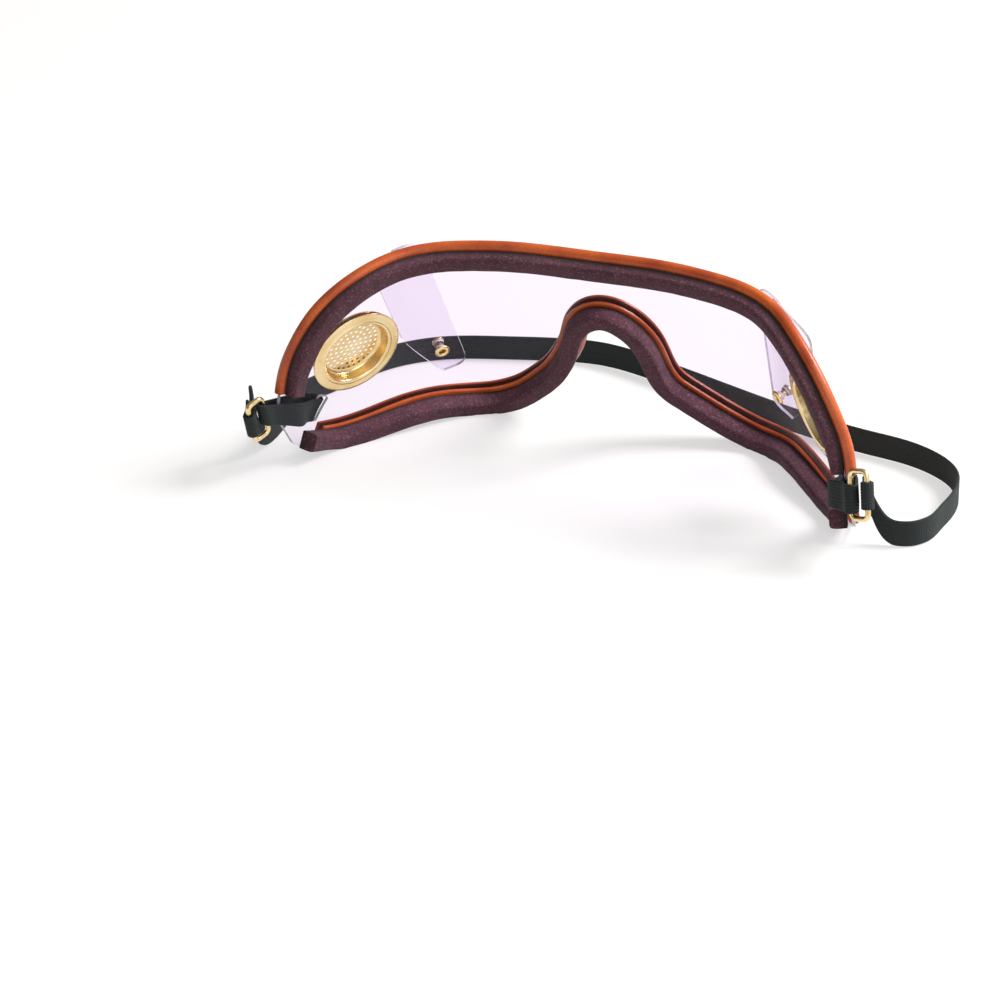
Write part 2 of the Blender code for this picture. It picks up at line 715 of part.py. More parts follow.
def cup_profile():
    """Half the section of a vent cup, as (radius, depth): a flange, a wall and a floor."""
    top = GAP + CUP_WALL
    floor = -CUP_DEPTH
    return [
        (CUP_FLANGE_RADIUS, GAP),
        (CUP_FLANGE_RADIUS - CUP_WALL / 2, top),
        (CUP_RADIUS, top),
        (CUP_RADIUS - CUP_WALL, top - CUP_WALL),
        (CUP_RADIUS - CUP_WALL, floor + CUP_WALL),
        (0, floor + CUP_WALL),
        (0, floor),
        (CUP_RADIUS, floor),
        (CUP_RADIUS, GAP),
    ]


def vent_drills(name, base):
    """Cutters for all the small holes in the floor of a cup."""
    mesh = bmesh.new()
    depths = (-CUP_DEPTH - CUP_WALL, -CUP_DEPTH + 2 * CUP_WALL)
    for ring in range(VENT_HOLE_RINGS + 1):
        count = max(HOLES_IN_FIRST_RING * ring, 1)
        for k in range(count):
            angle = math.tau * k / count
            centre = (ring * VENT_HOLE_PITCH * math.cos(angle), ring * VENT_HOLE_PITCH * math.sin(angle))
            low, high = (
                [mesh.verts.new(point) for point in circle(base, VENT_HOLE_RADIUS, depth, VENT_HOLE_SIDES, centre)]
                for depth in depths
            )
            mesh.faces.new(low)
            mesh.faces.new(high)
            for corner in range(VENT_HOLE_SIDES):
                after = (corner + 1) % VENT_HOLE_SIDES
                mesh.faces.new((low[corner], low[after], high[after], high[corner]))
    return add_object(name, mesh, None)


def make_vent(label, side, look):
    """A pierced cup let into the sheet, and the washer on its outer side. Returns the sheet's cutter."""
    base = frame_at(side * VENT_U, VENT_V)
    cup = turned(f"vent_cup_{label}", cup_profile(), base, look, ROUND_SIDES)
    cut(cup, vent_drills(f"vent_drills_{label}", base))
    near = -SHEET_THICKNESS - GAP
    far = near - VENT_RING_THICKNESS
    profile = [
        (CUP_RADIUS + GAP, near),
        (VENT_RING_RADIUS, near),
        (VENT_RING_RADIUS, (near + far) / 2),
        (VENT_RING_RADIUS - VENT_RING_THICKNESS / 2, far),
        (CUP_RADIUS + GAP, far),
    ]
    turned(f"vent_ring_{label}", profile, base, look, ROUND_SIDES)
    return drill(f"vent_cutter_{label}", base, CUP_RADIUS + GAP, OVERRUN, -OVERRUN, ROUND_SIDES)


SCOOP_SEAT = -(SHEET_THICKNESS + GAP + CHANNEL_WALL + GAP)


def make_scoop(name, side, look):
    """A clear flap, flat where the eyelets hold it, whose rear edge stands off in front of the vent."""
    rounding = SCOOP_CORNER * (1 - np.cos(np.linspace(0, math.pi / 2, CORNER_STATIONS)))
    middle = np.linspace(SCOOP_START + SCOOP_CORNER, SCOOP_END - SCOOP_CORNER, SCOOP_STATIONS)
    rings = []
    for u in [*(SCOOP_START + rounding), *middle[1:-1], *(SCOOP_END - rounding[::-1])]:
        beyond = max(SCOOP_START + SCOOP_CORNER - u, u - SCOOP_END + SCOOP_CORNER, 0)
        drop = SCOOP_CORNER - math.sqrt(max(SCOOP_CORNER**2 - beyond**2, 0))
        share = max(u - SCOOP_FLAT_END, 0) / (SCOOP_END - SCOOP_FLAT_END)
        drop += SCOOP_TAPER * share
        low, high = -SCOOP_LOW + drop, SCOOP_TOP - drop
        near = SCOOP_SEAT - SCOOP_RISE * share * share * (2 - share)
        far = near - SCOOP_THICKNESS
        corners = ((low, near), (high, near), (high, far), (low, far))
        rings.append([place(side * u, v, depth) for v, depth in corners])
    return add_object(name, skinned(rings), look)


def eyelet_profile(inner_end, headed):
    """Half the section of a tubular eyelet, as (radius, depth). Its outer head lies on the scoop."""
    seat = SCOOP_SEAT - SCOOP_THICKNESS - GAP
    profile = [
        (EYELET_BARREL_RADIUS, seat),
        (EYELET_HEAD_RADIUS, seat),
        (EYELET_HEAD_RADIUS, seat - EYELET_HEAD / 2),
        (EYELET_BARREL_RADIUS, seat - EYELET_HEAD),
        (EYELET_BORE_RADIUS, seat - EYELET_HEAD),
    ]
    if headed:
        profile += [
            (EYELET_BORE_RADIUS, inner_end + EYELET_HEAD),
            (EYELET_BARREL_RADIUS, inner_end + EYELET_HEAD),
            (EYELET_HEAD_RADIUS, inner_end + EYELET_HEAD / 2),
            (EYELET_HEAD_RADIUS, inner_end),
        ]
    else:
        profile.append((EYELET_BORE_RADIUS, inner_end))
    return [*profile, (EYELET_BARREL_RADIUS, inner_end)]


def make_eyelet(level, label, side, look):
    """One eyelet. Returns the cutter for the holes that it passes through."""
    v, end, headed = {
        "upper": (UPPER_EYELET_V, GAP + CHANNEL_WALL, False),
        "lower": (LOWER_EYELET_V, GAP, True),
    }[level]
    base = frame_at(side * EYELET_U, v)
    turned(f"eyelet_{level}_{label}", eyelet_profile(end, headed), base, look, EYELET_SIDES)
    outer = SCOOP_SEAT - OVERRUN
    return drill(f"eyelet_cutter_{level}_{label}", base, EYELET_BARREL_RADIUS + GAP, OVERRUN, outer, EYELET_SIDES)


def make_table():
    """A cutter below the table's top, which cuts the bottom foam flat where it stands."""
    mesh = bmesh.new()
    bmesh.ops.create_cube(mesh, size=2 * SHEET_HALF_LENGTH)
    bmesh.ops.translate(mesh, verts=mesh.verts, vec=(0, 0, -SHEET_HALF_LENGTH))
    return add_object("table_cutter", mesh, None)


def centre_all():
    """Moves everything so that the origin lies below the middle of the whole."""
    shown = [item for item in bpy.data.objects if not item.hide_render]
    corners = [item.matrix_basis @ vertex.co for item in shown for vertex in item.data.vertices]
    for axis in (0, 1):
        values = [corner[axis] for corner in corners]
        middle = (min(values) + max(values)) / 2
        for item in bpy.data.objects:
            item.location[axis] -= middle


CLEAR = material("clear polycarbonate", (0.93, 0.92, 0.97), 0.05, alpha=0.2)
LEATHER = material("tan leather", (0.45, 0.11, 0.03), 0.45)
FOAM = material("burgundy foam", (0.08, 0.03, 0.035), 0.9)
BRASS = material("brass", (0.75, 0.45, 0.12), 0.25, metallic=1.0)
ELASTIC = material("black elastic", (0.015, 0.02, 0.02), 0.8)

lens = make_sheet(CLEAR)
binding_top = swept("binding_top", TOP_STRIP, lambda u: channel_section(CHANNEL_REACH), LEATHER)
swept("binding_bottom", BOTTOM_CHANNEL_STRIP, bottom_channel_section, LEATHER)
swept("foam_top", TOP_STRIP, lambda u: foam_section(TOP_FOAM_DEPTH), FOAM)
foam_bottom = swept("foam_bottom", BOTTOM_FOAM_STRIP, lambda u: foam_section(BOTTOM_FOAM_DEPTH), FOAM)
cut(foam_bottom, make_table())

frames = []
for side, label, swing, rise, tilt, bulge, turn in (
    (-1, "left", RING_SWING_LEFT, RING_RISE_LEFT, RING_TILT_LEFT, BAND_BULGE_LEFT, FOLD_TURN_LEFT),
    (1, "right", RING_SWING_RIGHT, RING_RISE_RIGHT, RING_TILT_RIGHT, BAND_BULGE_RIGHT, FOLD_TURN_RIGHT),
):
    cut(lens, make_vent(label, side, BRASS))
    cut(lens, slot_cutter(f"slot_cutter_{label}", side))
    scoop = make_scoop(f"scoop_{label}", side, CLEAR)
    for level in ("upper", "lower"):
        cutter = make_eyelet(level, label, side, BRASS)
        cut(lens, cutter)
        cut(scoop, cutter)
        if level == "upper":
            cut(binding_top, cutter)
    make_band(f"strap_band_{label}", side, bulge, tilt, ELASTIC)
    frames.append(ring_frame(side, swing, rise, turn, tilt))
    make_ring(f"ring_{label}", frames[-1], BRASS)
    make_strap_end(f"strap_end_{label}", frames[-1], ELASTIC)
make_strap("strap", frames, ELASTIC)
centre_all()
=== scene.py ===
# %% [markdown]
# Riding goggles, made as a lesson in cells. A clear sheet is bent round the face and edged with leather,
# foam strips lie on the face side, and an elastic strap runs from one brass ring to the other. The CAD
# frame gives every place. Here each piece gets the shape and finish that the eye expects of it.

import math

import bpy
import numpy as np
from mathutils import Matrix, Vector
from mathutils import noise as field


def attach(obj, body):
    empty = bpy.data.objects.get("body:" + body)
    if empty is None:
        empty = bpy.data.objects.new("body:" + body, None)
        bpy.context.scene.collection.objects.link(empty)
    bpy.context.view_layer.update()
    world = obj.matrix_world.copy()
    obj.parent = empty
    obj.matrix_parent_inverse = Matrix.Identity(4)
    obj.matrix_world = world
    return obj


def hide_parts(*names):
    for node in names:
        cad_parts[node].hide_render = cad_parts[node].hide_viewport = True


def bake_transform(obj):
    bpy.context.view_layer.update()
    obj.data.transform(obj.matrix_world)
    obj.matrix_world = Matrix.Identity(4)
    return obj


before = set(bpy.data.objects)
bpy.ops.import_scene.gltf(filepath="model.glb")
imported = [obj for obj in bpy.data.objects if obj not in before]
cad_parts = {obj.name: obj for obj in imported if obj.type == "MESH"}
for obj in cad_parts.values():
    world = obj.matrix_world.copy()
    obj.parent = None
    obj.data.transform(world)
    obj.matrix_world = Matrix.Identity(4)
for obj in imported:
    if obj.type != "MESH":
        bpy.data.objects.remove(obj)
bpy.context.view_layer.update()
bpy.ops.object.select_all(action="DESELECT")

# %% [markdown]
# The real sheet is cut flat and then bent, so it is easiest to draw it flat too. On the flat sheet u runs
# along it from the nose and v up it. One function bends a flat point to its place on the table, and every
# piece on the sheet is drawn flat and sent through that function.

# %% The flat sheet and how it is bent
HALF_LENGTH = 0.110
TOP = 0.0335
BOTTOM = 0.0465
THICKNESS = 0.001
FRONT_BEND = math.radians(17.7)
CORNER_BEND = math.radians(30.9)
TIP_BEND = math.radians(27.0)
CORNER_START = 0.03641
CORNER_END = 0.065505
TIP_START = 0.093995
TIP_END = 0.105996
APEX_DROP = 1.01
LEAN = 0.574973691
CENTRING = np.array([-0.004718374, -0.000911525, 0.04397223])


def smooth_step(share):
    share = np.clip(share, 0, 1)
    return share * share * (3 - 2 * share)


def heading(u):
    along = np.abs(u)
    corner = smooth_step((along - CORNER_START) / (CORNER_END - CORNER_START))
    tip = smooth_step((along - TIP_START) / (TIP_END - TIP_START))
    front = np.minimum(along / CORNER_END, 1)
    return np.sign(u) * (FRONT_BEND * front + CORNER_BEND * corner + TIP_BEND * tip)


TABLE_U = np.linspace(-1.4 * HALF_LENGTH, 1.4 * HALF_LENGTH, 1401)
TURNS = heading(TABLE_U)


def summed(values):
    step = TABLE_U[1] - TABLE_U[0]
    total = np.concatenate([[0], np.cumsum((values[1:] + values[:-1]) / 2)]) * step
    return total - np.interp(0, TABLE_U, total)


TABLE_X = summed(np.cos(TURNS))
TABLE_Y = -summed(np.sin(TURNS))


def place(u, v, depth):
    """Where a flat point comes to lie. Depth is its distance off the inner face, toward the wearer."""
    u, v, depth = np.broadcast_arrays(*(np.asarray(value, float) for value in (u, v, depth)))
    x = np.interp(u, TABLE_U, TABLE_X)
    y = np.interp(u, TABLE_U, TABLE_Y)
    turn = np.interp(u, TABLE_U, TURNS)
    flare = 1 + v / APEX_DROP
    rise = (y * np.cos(turn) + x * np.sin(turn)) / APEX_DROP
    normal = np.stack([-np.sin(turn), -np.cos(turn), rise], -1)
    normal /= np.linalg.norm(normal, axis=-1, keepdims=True)
    x, y, z = np.moveaxis(np.stack([x * flare, y * flare, v], -1) + depth[..., None] * normal, -1, 0)
    cos, sin = math.cos(LEAN), math.sin(LEAN)
    return np.stack([x, y * cos - z * sin, y * sin + z * cos], -1) + CENTRING


def frame_at(u, v):
    """A matrix for a stiff part on the sheet: X along the sheet, Y up it and Z toward the wearer."""
    step = 0.0003
    origin = place(u, v, 0)
    inward = place(u, v, step) - origin
    up = place(u, v + step, 0) - origin
    inward /= np.linalg.norm(inward)
    along = np.cross(up, inward)
    along /= np.linalg.norm(along)
    columns = np.stack([along, np.cross(inward, along), inward, origin], 1)
    return Matrix([*columns.tolist(), [0, 0, 0, 1]])


print("the nose bridge lies at", place(0, 0, 0).round(4).tolist())

# %% [markdown]
# Each edge is one smooth curve through a few points, given as shares of the sheet's length and height. The
# left leg of the nose arch was cut a little wider than the right one on the real sheet. The leather and
# the foam stop short of the tips, each by its own cut.

# %% The edges of the sheet
TOP_SIDE = ((0.23, 0.93), (0.45, 0.955), (0.62, 1.015), (0.76, 0.905), (0.87, 0.605), (0.982, 0.155))
LEFT_LEG = ((0.055, 0.08), (0.103, 0.36), (0.145, 0.555), (0.17, 0.645), (0.22, 0.775))
RIGHT_LEG = ((0.055, 0.08), (0.091, 0.36), (0.126, 0.635), (0.19, 0.77))
BOTTOM_SIDE = (
    (0.31, 0.94),
    (0.41, 1.0),
    (0.51, 0.935),
    (0.62, 0.79),
    (0.76, 0.66),
    (0.9, 0.52),
    (0.975, 0.36),
    (1.015, 0.235),
)


def spline(points, shares):
    """Points at shares of the length of a natural cubic curve through the given points."""
    points = np.array(points, float)
    steps = np.linalg.norm(np.diff(points, axis=0), axis=1)
    along = np.concatenate([[0], np.cumsum(steps)])
    size = len(points)
    system = np.eye(size)
    right = np.zeros_like(points)
    for k in range(1, size - 1):
        system[k, k - 1 : k + 2] = steps[k - 1], 2 * (steps[k - 1] + steps[k]), steps[k]
        right[k] = 6 * ((points[k + 1] - points[k]) / steps[k] - (points[k] - points[k - 1]) / steps[k - 1])
    bend = np.linalg.solve(system, right)
    where = shares * along[-1]
    k = np.clip(np.searchsorted(along, where) - 1, 0, size - 2)
    a = ((along[k + 1] - where) / steps[k])[:, None]
    b = 1 - a
    bow = ((a**3 - a) * bend[k] + (b**3 - b) * bend[k + 1]) * steps[k][:, None] ** 2 / 6
    return a * points[k] + b * points[k + 1] + bow


def edge_line(left, nose, right, height, count=481):
    """An edge from tip to tip as (points, outward normals)."""
    shares = [(-u, v) for u, v in left[::-1]] + [nose, *right]
    points = spline([(u * HALF_LENGTH, v * height) for u, v in shares], np.linspace(0, 1, count))
    along = np.gradient(points, axis=0)
    along /= np.linalg.norm(along, axis=1, keepdims=True)
    return points, np.stack([-along[:, 1], along[:, 0]], 1) * np.sign(height)


def shortened(line, length, count):
    """The edge without the given length at each end."""
    points, outward = line
    along = np.concatenate([[0], np.cumsum(np.linalg.norm(np.diff(points, axis=0), axis=1))])
    where = np.linspace(length, along[-1] - length, count)
    points = np.stack([np.interp(where, along, points[:, k]) for k in (0, 1)], 1)
    outward = np.stack([np.interp(where, along, outward[:, k]) for k in (0, 1)], 1)
    return points, outward / np.linalg.norm(outward, axis=1, keepdims=True)


TOP_EDGE = edge_line(TOP_SIDE, (0, 0.885), TOP_SIDE, TOP)
BOTTOM_EDGE = edge_line((*LEFT_LEG, *BOTTOM_SIDE), (0, -0.02), (*RIGHT_LEG, *BOTTOM_SIDE), -BOTTOM)
TOP_STRIP_CUT = 0.0052
LOWER_EDGING_CUT = 0.0142
LOWER_FOAM_CUT = 0.0028
TOP_STRIP = shortened(TOP_EDGE, TOP_STRIP_CUT, 420)
LOWER_EDGING = shortened(BOTTOM_EDGE, LOWER_EDGING_CUT, 520)
LOWER_FOAM = shortened(BOTTOM_EDGE, LOWER_FOAM_CUT, 560)
print("stations:", len(TOP_STRIP[0]), len(LOWER_EDGING[0]), len(LOWER_FOAM[0]))

# %% [markdown]
# Long pieces such as an edging, a foam strip or a strap are one section carried along a line. A grid
# primitive is the natural start: its columns go round the section, its rows along the line, the seam is
# merged and the open ends are filled. Its UV map then gives real metres round and along the piece, so a
# weave follows it. Marks, one for each column, say where shade is painted dark on the section.

# %% Helpers for shapes


def only(piece):
    bpy.ops.object.select_all(action="DESELECT")
    piece.select_set(True)
    bpy.context.view_layer.objects.active = piece


def in_edit_mode(piece, *steps):
    only(piece)
    bpy.ops.object.mode_set(mode="EDIT")
    bpy.ops.mesh.select_all(action="SELECT")
    for step in steps:
        step()
    bpy.ops.object.mode_set(mode="OBJECT")


def laid_grid(name, rows, closed=False, open_sheet=False, marks=None):
    """A grid primitive laid on rows of points. Columns close round the section unless it is an open sheet."""
    rows = np.asarray(rows, float)
    if not open_sheet:
        rows = np.concatenate([rows, rows[:, :1]], 1)
        marks = None if marks is None else np.append(marks, marks[0])
    if closed:
        rows = np.concatenate([rows, rows[:1]], 0)
    count, width = rows.shape[:2]
    bpy.ops.object.select_all(action="DESELECT")
    bpy.ops.mesh.primitive_grid_add(x_subdivisions=width - 1, y_subdivisions=count - 1, size=1)
    piece = bpy.context.object
    piece.name = name
    piece.data.name = name
    piece.data.vertices.foreach_set("co", rows.astype(np.float32).ravel())
    around = np.linalg.norm(np.diff(rows[count // 2], axis=0), axis=1).sum()
    along = np.linalg.norm(np.diff(rows.mean(1), axis=0), axis=1).sum()
    layer = piece.data.uv_layers.active.data
    uv = np.zeros(2 * len(layer), np.float32)
    layer.foreach_get("uv", uv)
    layer.foreach_set("uv", (uv.reshape(-1, 2) * (around, along)).astype(np.float32).ravel())
    if marks is not None:
        mark = piece.data.attributes.new("mark", "FLOAT", "POINT")
        mark.data.foreach_set("value", np.tile(marks, count).astype(np.float32))
    piece.data.update()
    if not open_sheet:
        in_edit_mode(
            piece,
            lambda: bpy.ops.mesh.remove_doubles(threshold=0.000001),
            lambda: bpy.ops.mesh.fill_holes(sides=0),
            lambda: bpy.ops.mesh.select_all(action="SELECT"),
            lambda: bpy.ops.mesh.normals_make_consistent(inside=False),
        )
    return piece


def rounded(corners, steps=4):
    """A closed outline of (x, y, radius) corners, each rounded by its own radius."""
    points = []
    for k, (x, y, radius) in enumerate(corners):
        here = np.array([x, y])
        before = np.array(corners[k - 1][:2]) - here
        after = np.array(corners[(k + 1) % len(corners)][:2]) - here
        start = here + before / np.linalg.norm(before) * radius
        end = here + after / np.linalg.norm(after) * radius
        for share in np.linspace(0, 1, steps + 1):
            points.append((1 - share) ** 2 * start + 2 * share * (1 - share) * here + share**2 * end)
    return np.array(points)


def smoothed(piece, degrees=35):
    only(piece)
    bpy.ops.object.shade_smooth_by_angle(angle=math.radians(degrees))
    return piece


def dressed(piece, look, slot, *nodes, body="goggles"):
    """Gives a finished piece its material, the body it rides on and the CAD nodes it stands for."""
    piece.data.materials.clear()
    piece.data.materials.append(look)
    if body:
        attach(piece, body)
    if nodes:
        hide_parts(*nodes)
    print(f"{piece.name}: {len(piece.data.polygons)} faces")
    return piece


# %% [markdown]
# Materials are small node trees. Hex colours are what a picture program shows, so one function turns them
# into the linear values that Blender works in. Another adds one node with its settings and links.

# %% Helpers for materials


def hexed(code):
    values = [int(code[k : k + 2], 16) / 255 for k in (0, 2, 4)]
    return (*[v / 12.92 if v <= 0.04045 else ((v + 0.055) / 1.055) ** 2.4 for v in values], 1)


def add(tree, kind, sockets=None, **settings):
    """Adds a node. A socket's value is set, or linked where it is another node's output."""
    made = tree.nodes.new(f"ShaderNode{kind}")
    for key, value in settings.items():
        setattr(made, key, value)
    for key, value in (sockets or {}).items():
        if isinstance(value, bpy.types.NodeSocket):
            tree.links.new(value, made.inputs[key])
        else:
            made.inputs[key].default_value = value
    return made.outputs[0]


def new_material(name, **sockets):
    made = bpy.data.materials.new(name)
    made.use_nodes = True
    shader = made.node_tree.nodes["Principled BSDF"]
    for key, value in sockets.items():
        shader.inputs[key.replace("_", " ").title().replace("Ior", "IOR")].default_value = value
    return made, made.node_tree, shader


def link(tree, output, shader, key):
    tree.links.new(output, shader.inputs[key])


def blended(tree, factor, first, second):
    """Two colours mixed by a factor between 0 and 1."""
    ramp = add(tree, "ValToRGB", {"Fac": factor})
    elements = ramp.node.color_ramp.elements
    elements[0].color = first
    elements[1].color = second
    return ramp


def object_places(tree):
    return tree.nodes.new("ShaderNodeTexCoord").outputs["Object"]


def noise(tree, size, detail=2, roughness=0.5):
    """Noise whose blotches are about the given size in metres."""
    sockets = {"Vector": object_places(tree), "Scale": 1 / size, "Detail": detail, "Roughness": roughness}
    return add(tree, "TexNoise", sockets)


def ranged(tree, value, low, high, to_low, to_high):
    sockets = {"Value": value, "From Min": low, "From Max": high, "To Min": to_low, "To Max": to_high}
    return add(tree, "MapRange", sockets)


def bumped(tree, shader, height, distance, strength=1.0, normal=None):
    sockets = {"Height": height, "Distance": distance, "Strength": strength}
    if normal:
        sockets["Normal"] = normal
    output = add(tree, "Bump", sockets)
    link(tree, output, shader, "Normal")
    return output


def maths(tree, operation, first, second=0.0):
    made = add(tree, "Math", None, operation=operation).node
    for socket, value in zip(made.inputs, (first, second)):
        if isinstance(value, bpy.types.NodeSocket):
            tree.links.new(value, socket)
        else:
            socket.default_value = value
    return made.outputs[0]


# %% [markdown]
# Polycarbonate sheet is nearly invisible: what the eye sees is its reflections, a faint lilac cast and a
# few hairline scratches. A Fresnel mix of a see-through shader and a glossy one gives that, and it lets the
# lamps shine through, as a real thin sheet does. Only the side that faces the eye reflects, or each sheet
# would shine twice. Its sawn edge is frosted and pale, and draws the outline of each clear piece.

# %% Clear polycarbonate sheet
POLYCARBONATE_IOR = 1.5
CLEAR, tree, shader = new_material(
    "clear polycarbonate sheet", base_color=hexed("FAF8FC"), roughness=0.06, ior=POLYCARBONATE_IOR
)
scratches = noise(tree, 0.0004, 3, 0.7)
link(tree, ranged(tree, scratches, 0.55, 0.75, 0.04, 0.16), shader, "Roughness")
bumped(tree, shader, noise(tree, 0.02, 1), 0.0004, 0.25)
see_through = add(tree, "BsdfTransparent", {"Color": hexed("FAF6FC")})
fresnel = add(tree, "Fresnel", {"IOR": 1.4})
outer_side = maths(tree, "SUBTRACT", 1.0, add(tree, "NewGeometry").node.outputs["Backfacing"])
gloss = maths(tree, "MULTIPLY", ranged(tree, fresnel, 0.02, 1.0, 0.0, 0.75), outer_side)
mixed = add(tree, "MixShader", {0: gloss, 1: see_through, 2: shader.outputs[0]})
tree.links.new(mixed, tree.nodes["Material Output"].inputs["Surface"])
print("material:", CLEAR.name)

# %% Its sawn edge
CUT_EDGE, tree, shader = new_material("sawn polycarbonate edge", roughness=0.3, ior=POLYCARBONATE_IOR)
frost = ranged(tree, noise(tree, 0.0015, 3), 0.3, 0.7, 0, 1)
link(tree, blended(tree, frost, hexed("C4BFCC"), hexed("E6E2EC")), shader, "Base Color")
print("material:", CUT_EDGE.name)

# %% [markdown]
# The edging is bridle leather: dyed orange brown, waxed, with a fine grain about half a millimetre across.
# The wax gives a sharp highlight along the crown, and a mark on the mesh paints shade inside the channel.

# %% Waxed bridle leather
LEATHER_GRAIN = 0.0006
LEATHER, tree, shader = new_material(
    "waxed bridle leather", roughness=0.4, coat_weight=0.15, coat_roughness=0.2
)
dye = ranged(tree, noise(tree, 0.012, 4), 0.35, 0.65, 0, 1)
patches = blended(tree, dye, hexed("B24413"), hexed("DA6522"))
grain = add(tree, "TexVoronoi", {"Vector": object_places(tree), "Scale": 1 / LEATHER_GRAIN})
creases = ranged(tree, grain, 0.1, 0.7, 0.35, 0.0)
grained = add(tree, "Mix", {0: creases, 6: patches, 7: hexed("8E3410")}, data_type="RGBA")
# The mark attribute paints shade inside the leather's channel and in the groove between its lips.
edge = add(tree, "Attribute", None, attribute_name="mark").node.outputs["Fac"]
leather_colour = add(tree, "Mix", {0: edge, 6: grained.node.outputs[2], 7: hexed("4A1606")}, data_type="RGBA")
link(tree, leather_colour.node.outputs[2], shader, "Base Color")
link(tree, ranged(tree, noise(tree, 0.004, 3), 0.3, 0.7, 0.32, 0.48), shader, "Roughness")
fine = bumped(tree, shader, grain, 0.0001, 0.3)
bumped(tree, shader, noise(tree, 0.003, 4), 0.0001, 0.3, fine)
print("material:", LEATHER.name)

# %% [markdown]
# The face foam is closed-cell foam with a flocked skin. It is dull burgundy with paler and darker flecks
# about a third of a millimetre wide, drawn at 0.4 mm here so that they show. A mark on the mesh paints
# shade on it along its back, where it meets the leather.

# %% Flocked closed-cell foam
FLECK = 0.0004
FOAM, tree, shader = new_material(
    "flocked closed cell foam", roughness=0.92, sheen_weight=0.15, sheen_roughness=0.5
)
shader.inputs["Sheen Tint"].default_value = hexed("C9A7B0")
clouds = ranged(tree, noise(tree, 0.006, 4), 0.3, 0.7, 0, 1)
body_colour = blended(tree, clouds, hexed("482631"), hexed("5A323E"))
cells = add(tree, "TexVoronoi", {"Vector": object_places(tree), "Scale": 1 / FLECK})
fleck = add(tree, "SeparateColor", {"Color": cells.node.outputs["Color"]})
pale = ranged(tree, fleck, 0.75, 1.0, 0, 0.26)
flecked = add(tree, "Mix", {0: pale, 6: body_colour, 7: hexed("A58590")}, data_type="RGBA")
dark = ranged(tree, fleck, 0.0, 0.25, 0.45, 0)
speckled = add(tree, "Mix", {0: dark, 6: flecked.node.outputs[2], 7: hexed("241319")}, data_type="RGBA")
# The mark paints shade along the foam's back, where it meets the leather.
back_shade_mark = add(tree, "Attribute", None, attribute_name="mark").node.outputs["Fac"]
with_back_shade = add(tree, "Mix", {0: back_shade_mark, 6: speckled.node.outputs[2], 7: hexed("140A0D")}, data_type="RGBA")
link(tree, with_back_shade.node.outputs[2], shader, "Base Color")
pores = bumped(tree, shader, cells, 0.0001, 0.5)
bumped(tree, shader, noise(tree, 0.0012, 3), 0.0002, 0.4, pores)
print("material:", FOAM.name)

# %% [markdown]
# The vents, eyelets and rings are brass. Pressed brass that has been handled is bright, slightly uneven and
# a little browner in patches, and a metal keeps its colour in its reflections.

# %% Polished pressed brass
BRASS, tree, shader = new_material("polished pressed brass", metallic=1.0)
tarnish = ranged(tree, noise(tree, 0.008, 3), 0.4, 0.75, 0, 1)
link(tree, blended(tree, tarnish, hexed("F5DCAA"), hexed("E0BC78")), shader, "Base Color")
link(tree, ranged(tree, noise(tree, 0.004, 2), 0.3, 0.7, 0.2, 0.28), shader, "Roughness")
bumped(tree, shader, noise(tree, 0.006, 1), 0.00002, 0.15)
print("material:", BRASS.name)

# %% [markdown]
# Strap elastic is woven: rubber cords run along it and a black yarn crosses them, which gives fine ribs
# across the strap and shallow channels along it. The UV map is in metres, so both follow the strap. Real
# ribs are about half a millimetre apart, and are drawn a little coarser so that they show.

# %% Black woven elastic
RIB = 0.00065
CORD = 0.0009
ELASTIC, tree, shader = new_material(
    "black woven elastic", roughness=0.78, sheen_weight=0.15, sheen_roughness=0.4
)
shader.inputs["Sheen Tint"].default_value = hexed("8A9C9A")
metres = add(tree, "SeparateXYZ", {"Vector": tree.nodes.new("ShaderNodeTexCoord").outputs["UV"]}).node
rib = maths(tree, "SINE", maths(tree, "MULTIPLY", metres.outputs["Y"], math.tau / RIB))
cords = maths(tree, "SINE", maths(tree, "MULTIPLY", metres.outputs["X"], math.tau / CORD))
weave = maths(tree, "ADD", maths(tree, "MULTIPLY", rib, 0.6), maths(tree, "MULTIPLY", cords, 0.4))
shade = ranged(tree, weave, -1.0, 1.0, 0, 1)
link(tree, blended(tree, shade, hexed("0A1112"), hexed("151E1D")), shader, "Base Color")
bumped(tree, shader, weave, 0.00006, 0.6)
print("material:", ELASTIC.name)

# %% [markdown]
# The lens is one sheet with a slot and a vent hole near each tip. On the bench it would be cut flat and
# then bent, and so it is here: a flat grid between the two edges, thickened by Solidify, holes taken out by
# Boolean cutters, and then every point bent.

# %% The clear sheet, cut flat
VENT_U = 0.078705
VENT_V = 0.0045
SLOT_U = 0.09801
SLOT_V = -0.0078
SLOT_TURN = math.radians(49)
EYELET_U = 0.05478
EYELET_VS = (0.0288, -0.0162)
VENT_HOLE = 0.0113
EYELET_HOLE = 0.0015
SLOT_SIZE = (0.0034, 0.0094)
SLOT_CORNER = 0.0008
SLOT_SHIFT = -0.0017
TIP_CORNER = 0.003
ARCH_END = 0.06
DRILL = 0.02


def applied(piece, kind, **settings):
    only(piece)
    modifier = piece.modifiers.new(kind.lower(), kind)
    for key, value in settings.items():
        setattr(modifier, key, value)
    bpy.ops.object.modifier_apply(modifier=modifier.name)


def cut_out(piece, cutters):
    """Takes cutters away from a piece, one joined mesh at a time, and removes them."""
    for cutter in cutters:
        applied(piece, "BOOLEAN", operation="DIFFERENCE", solver="EXACT", object=cutter)
        bpy.data.objects.remove(cutter)


def flat_drill(u, v, radius, sides=64):
    bpy.ops.object.select_all(action="DESELECT")
    bpy.ops.mesh.primitive_cylinder_add(vertices=sides, radius=radius, depth=DRILL, location=(u, v, 0))
    return bpy.context.object


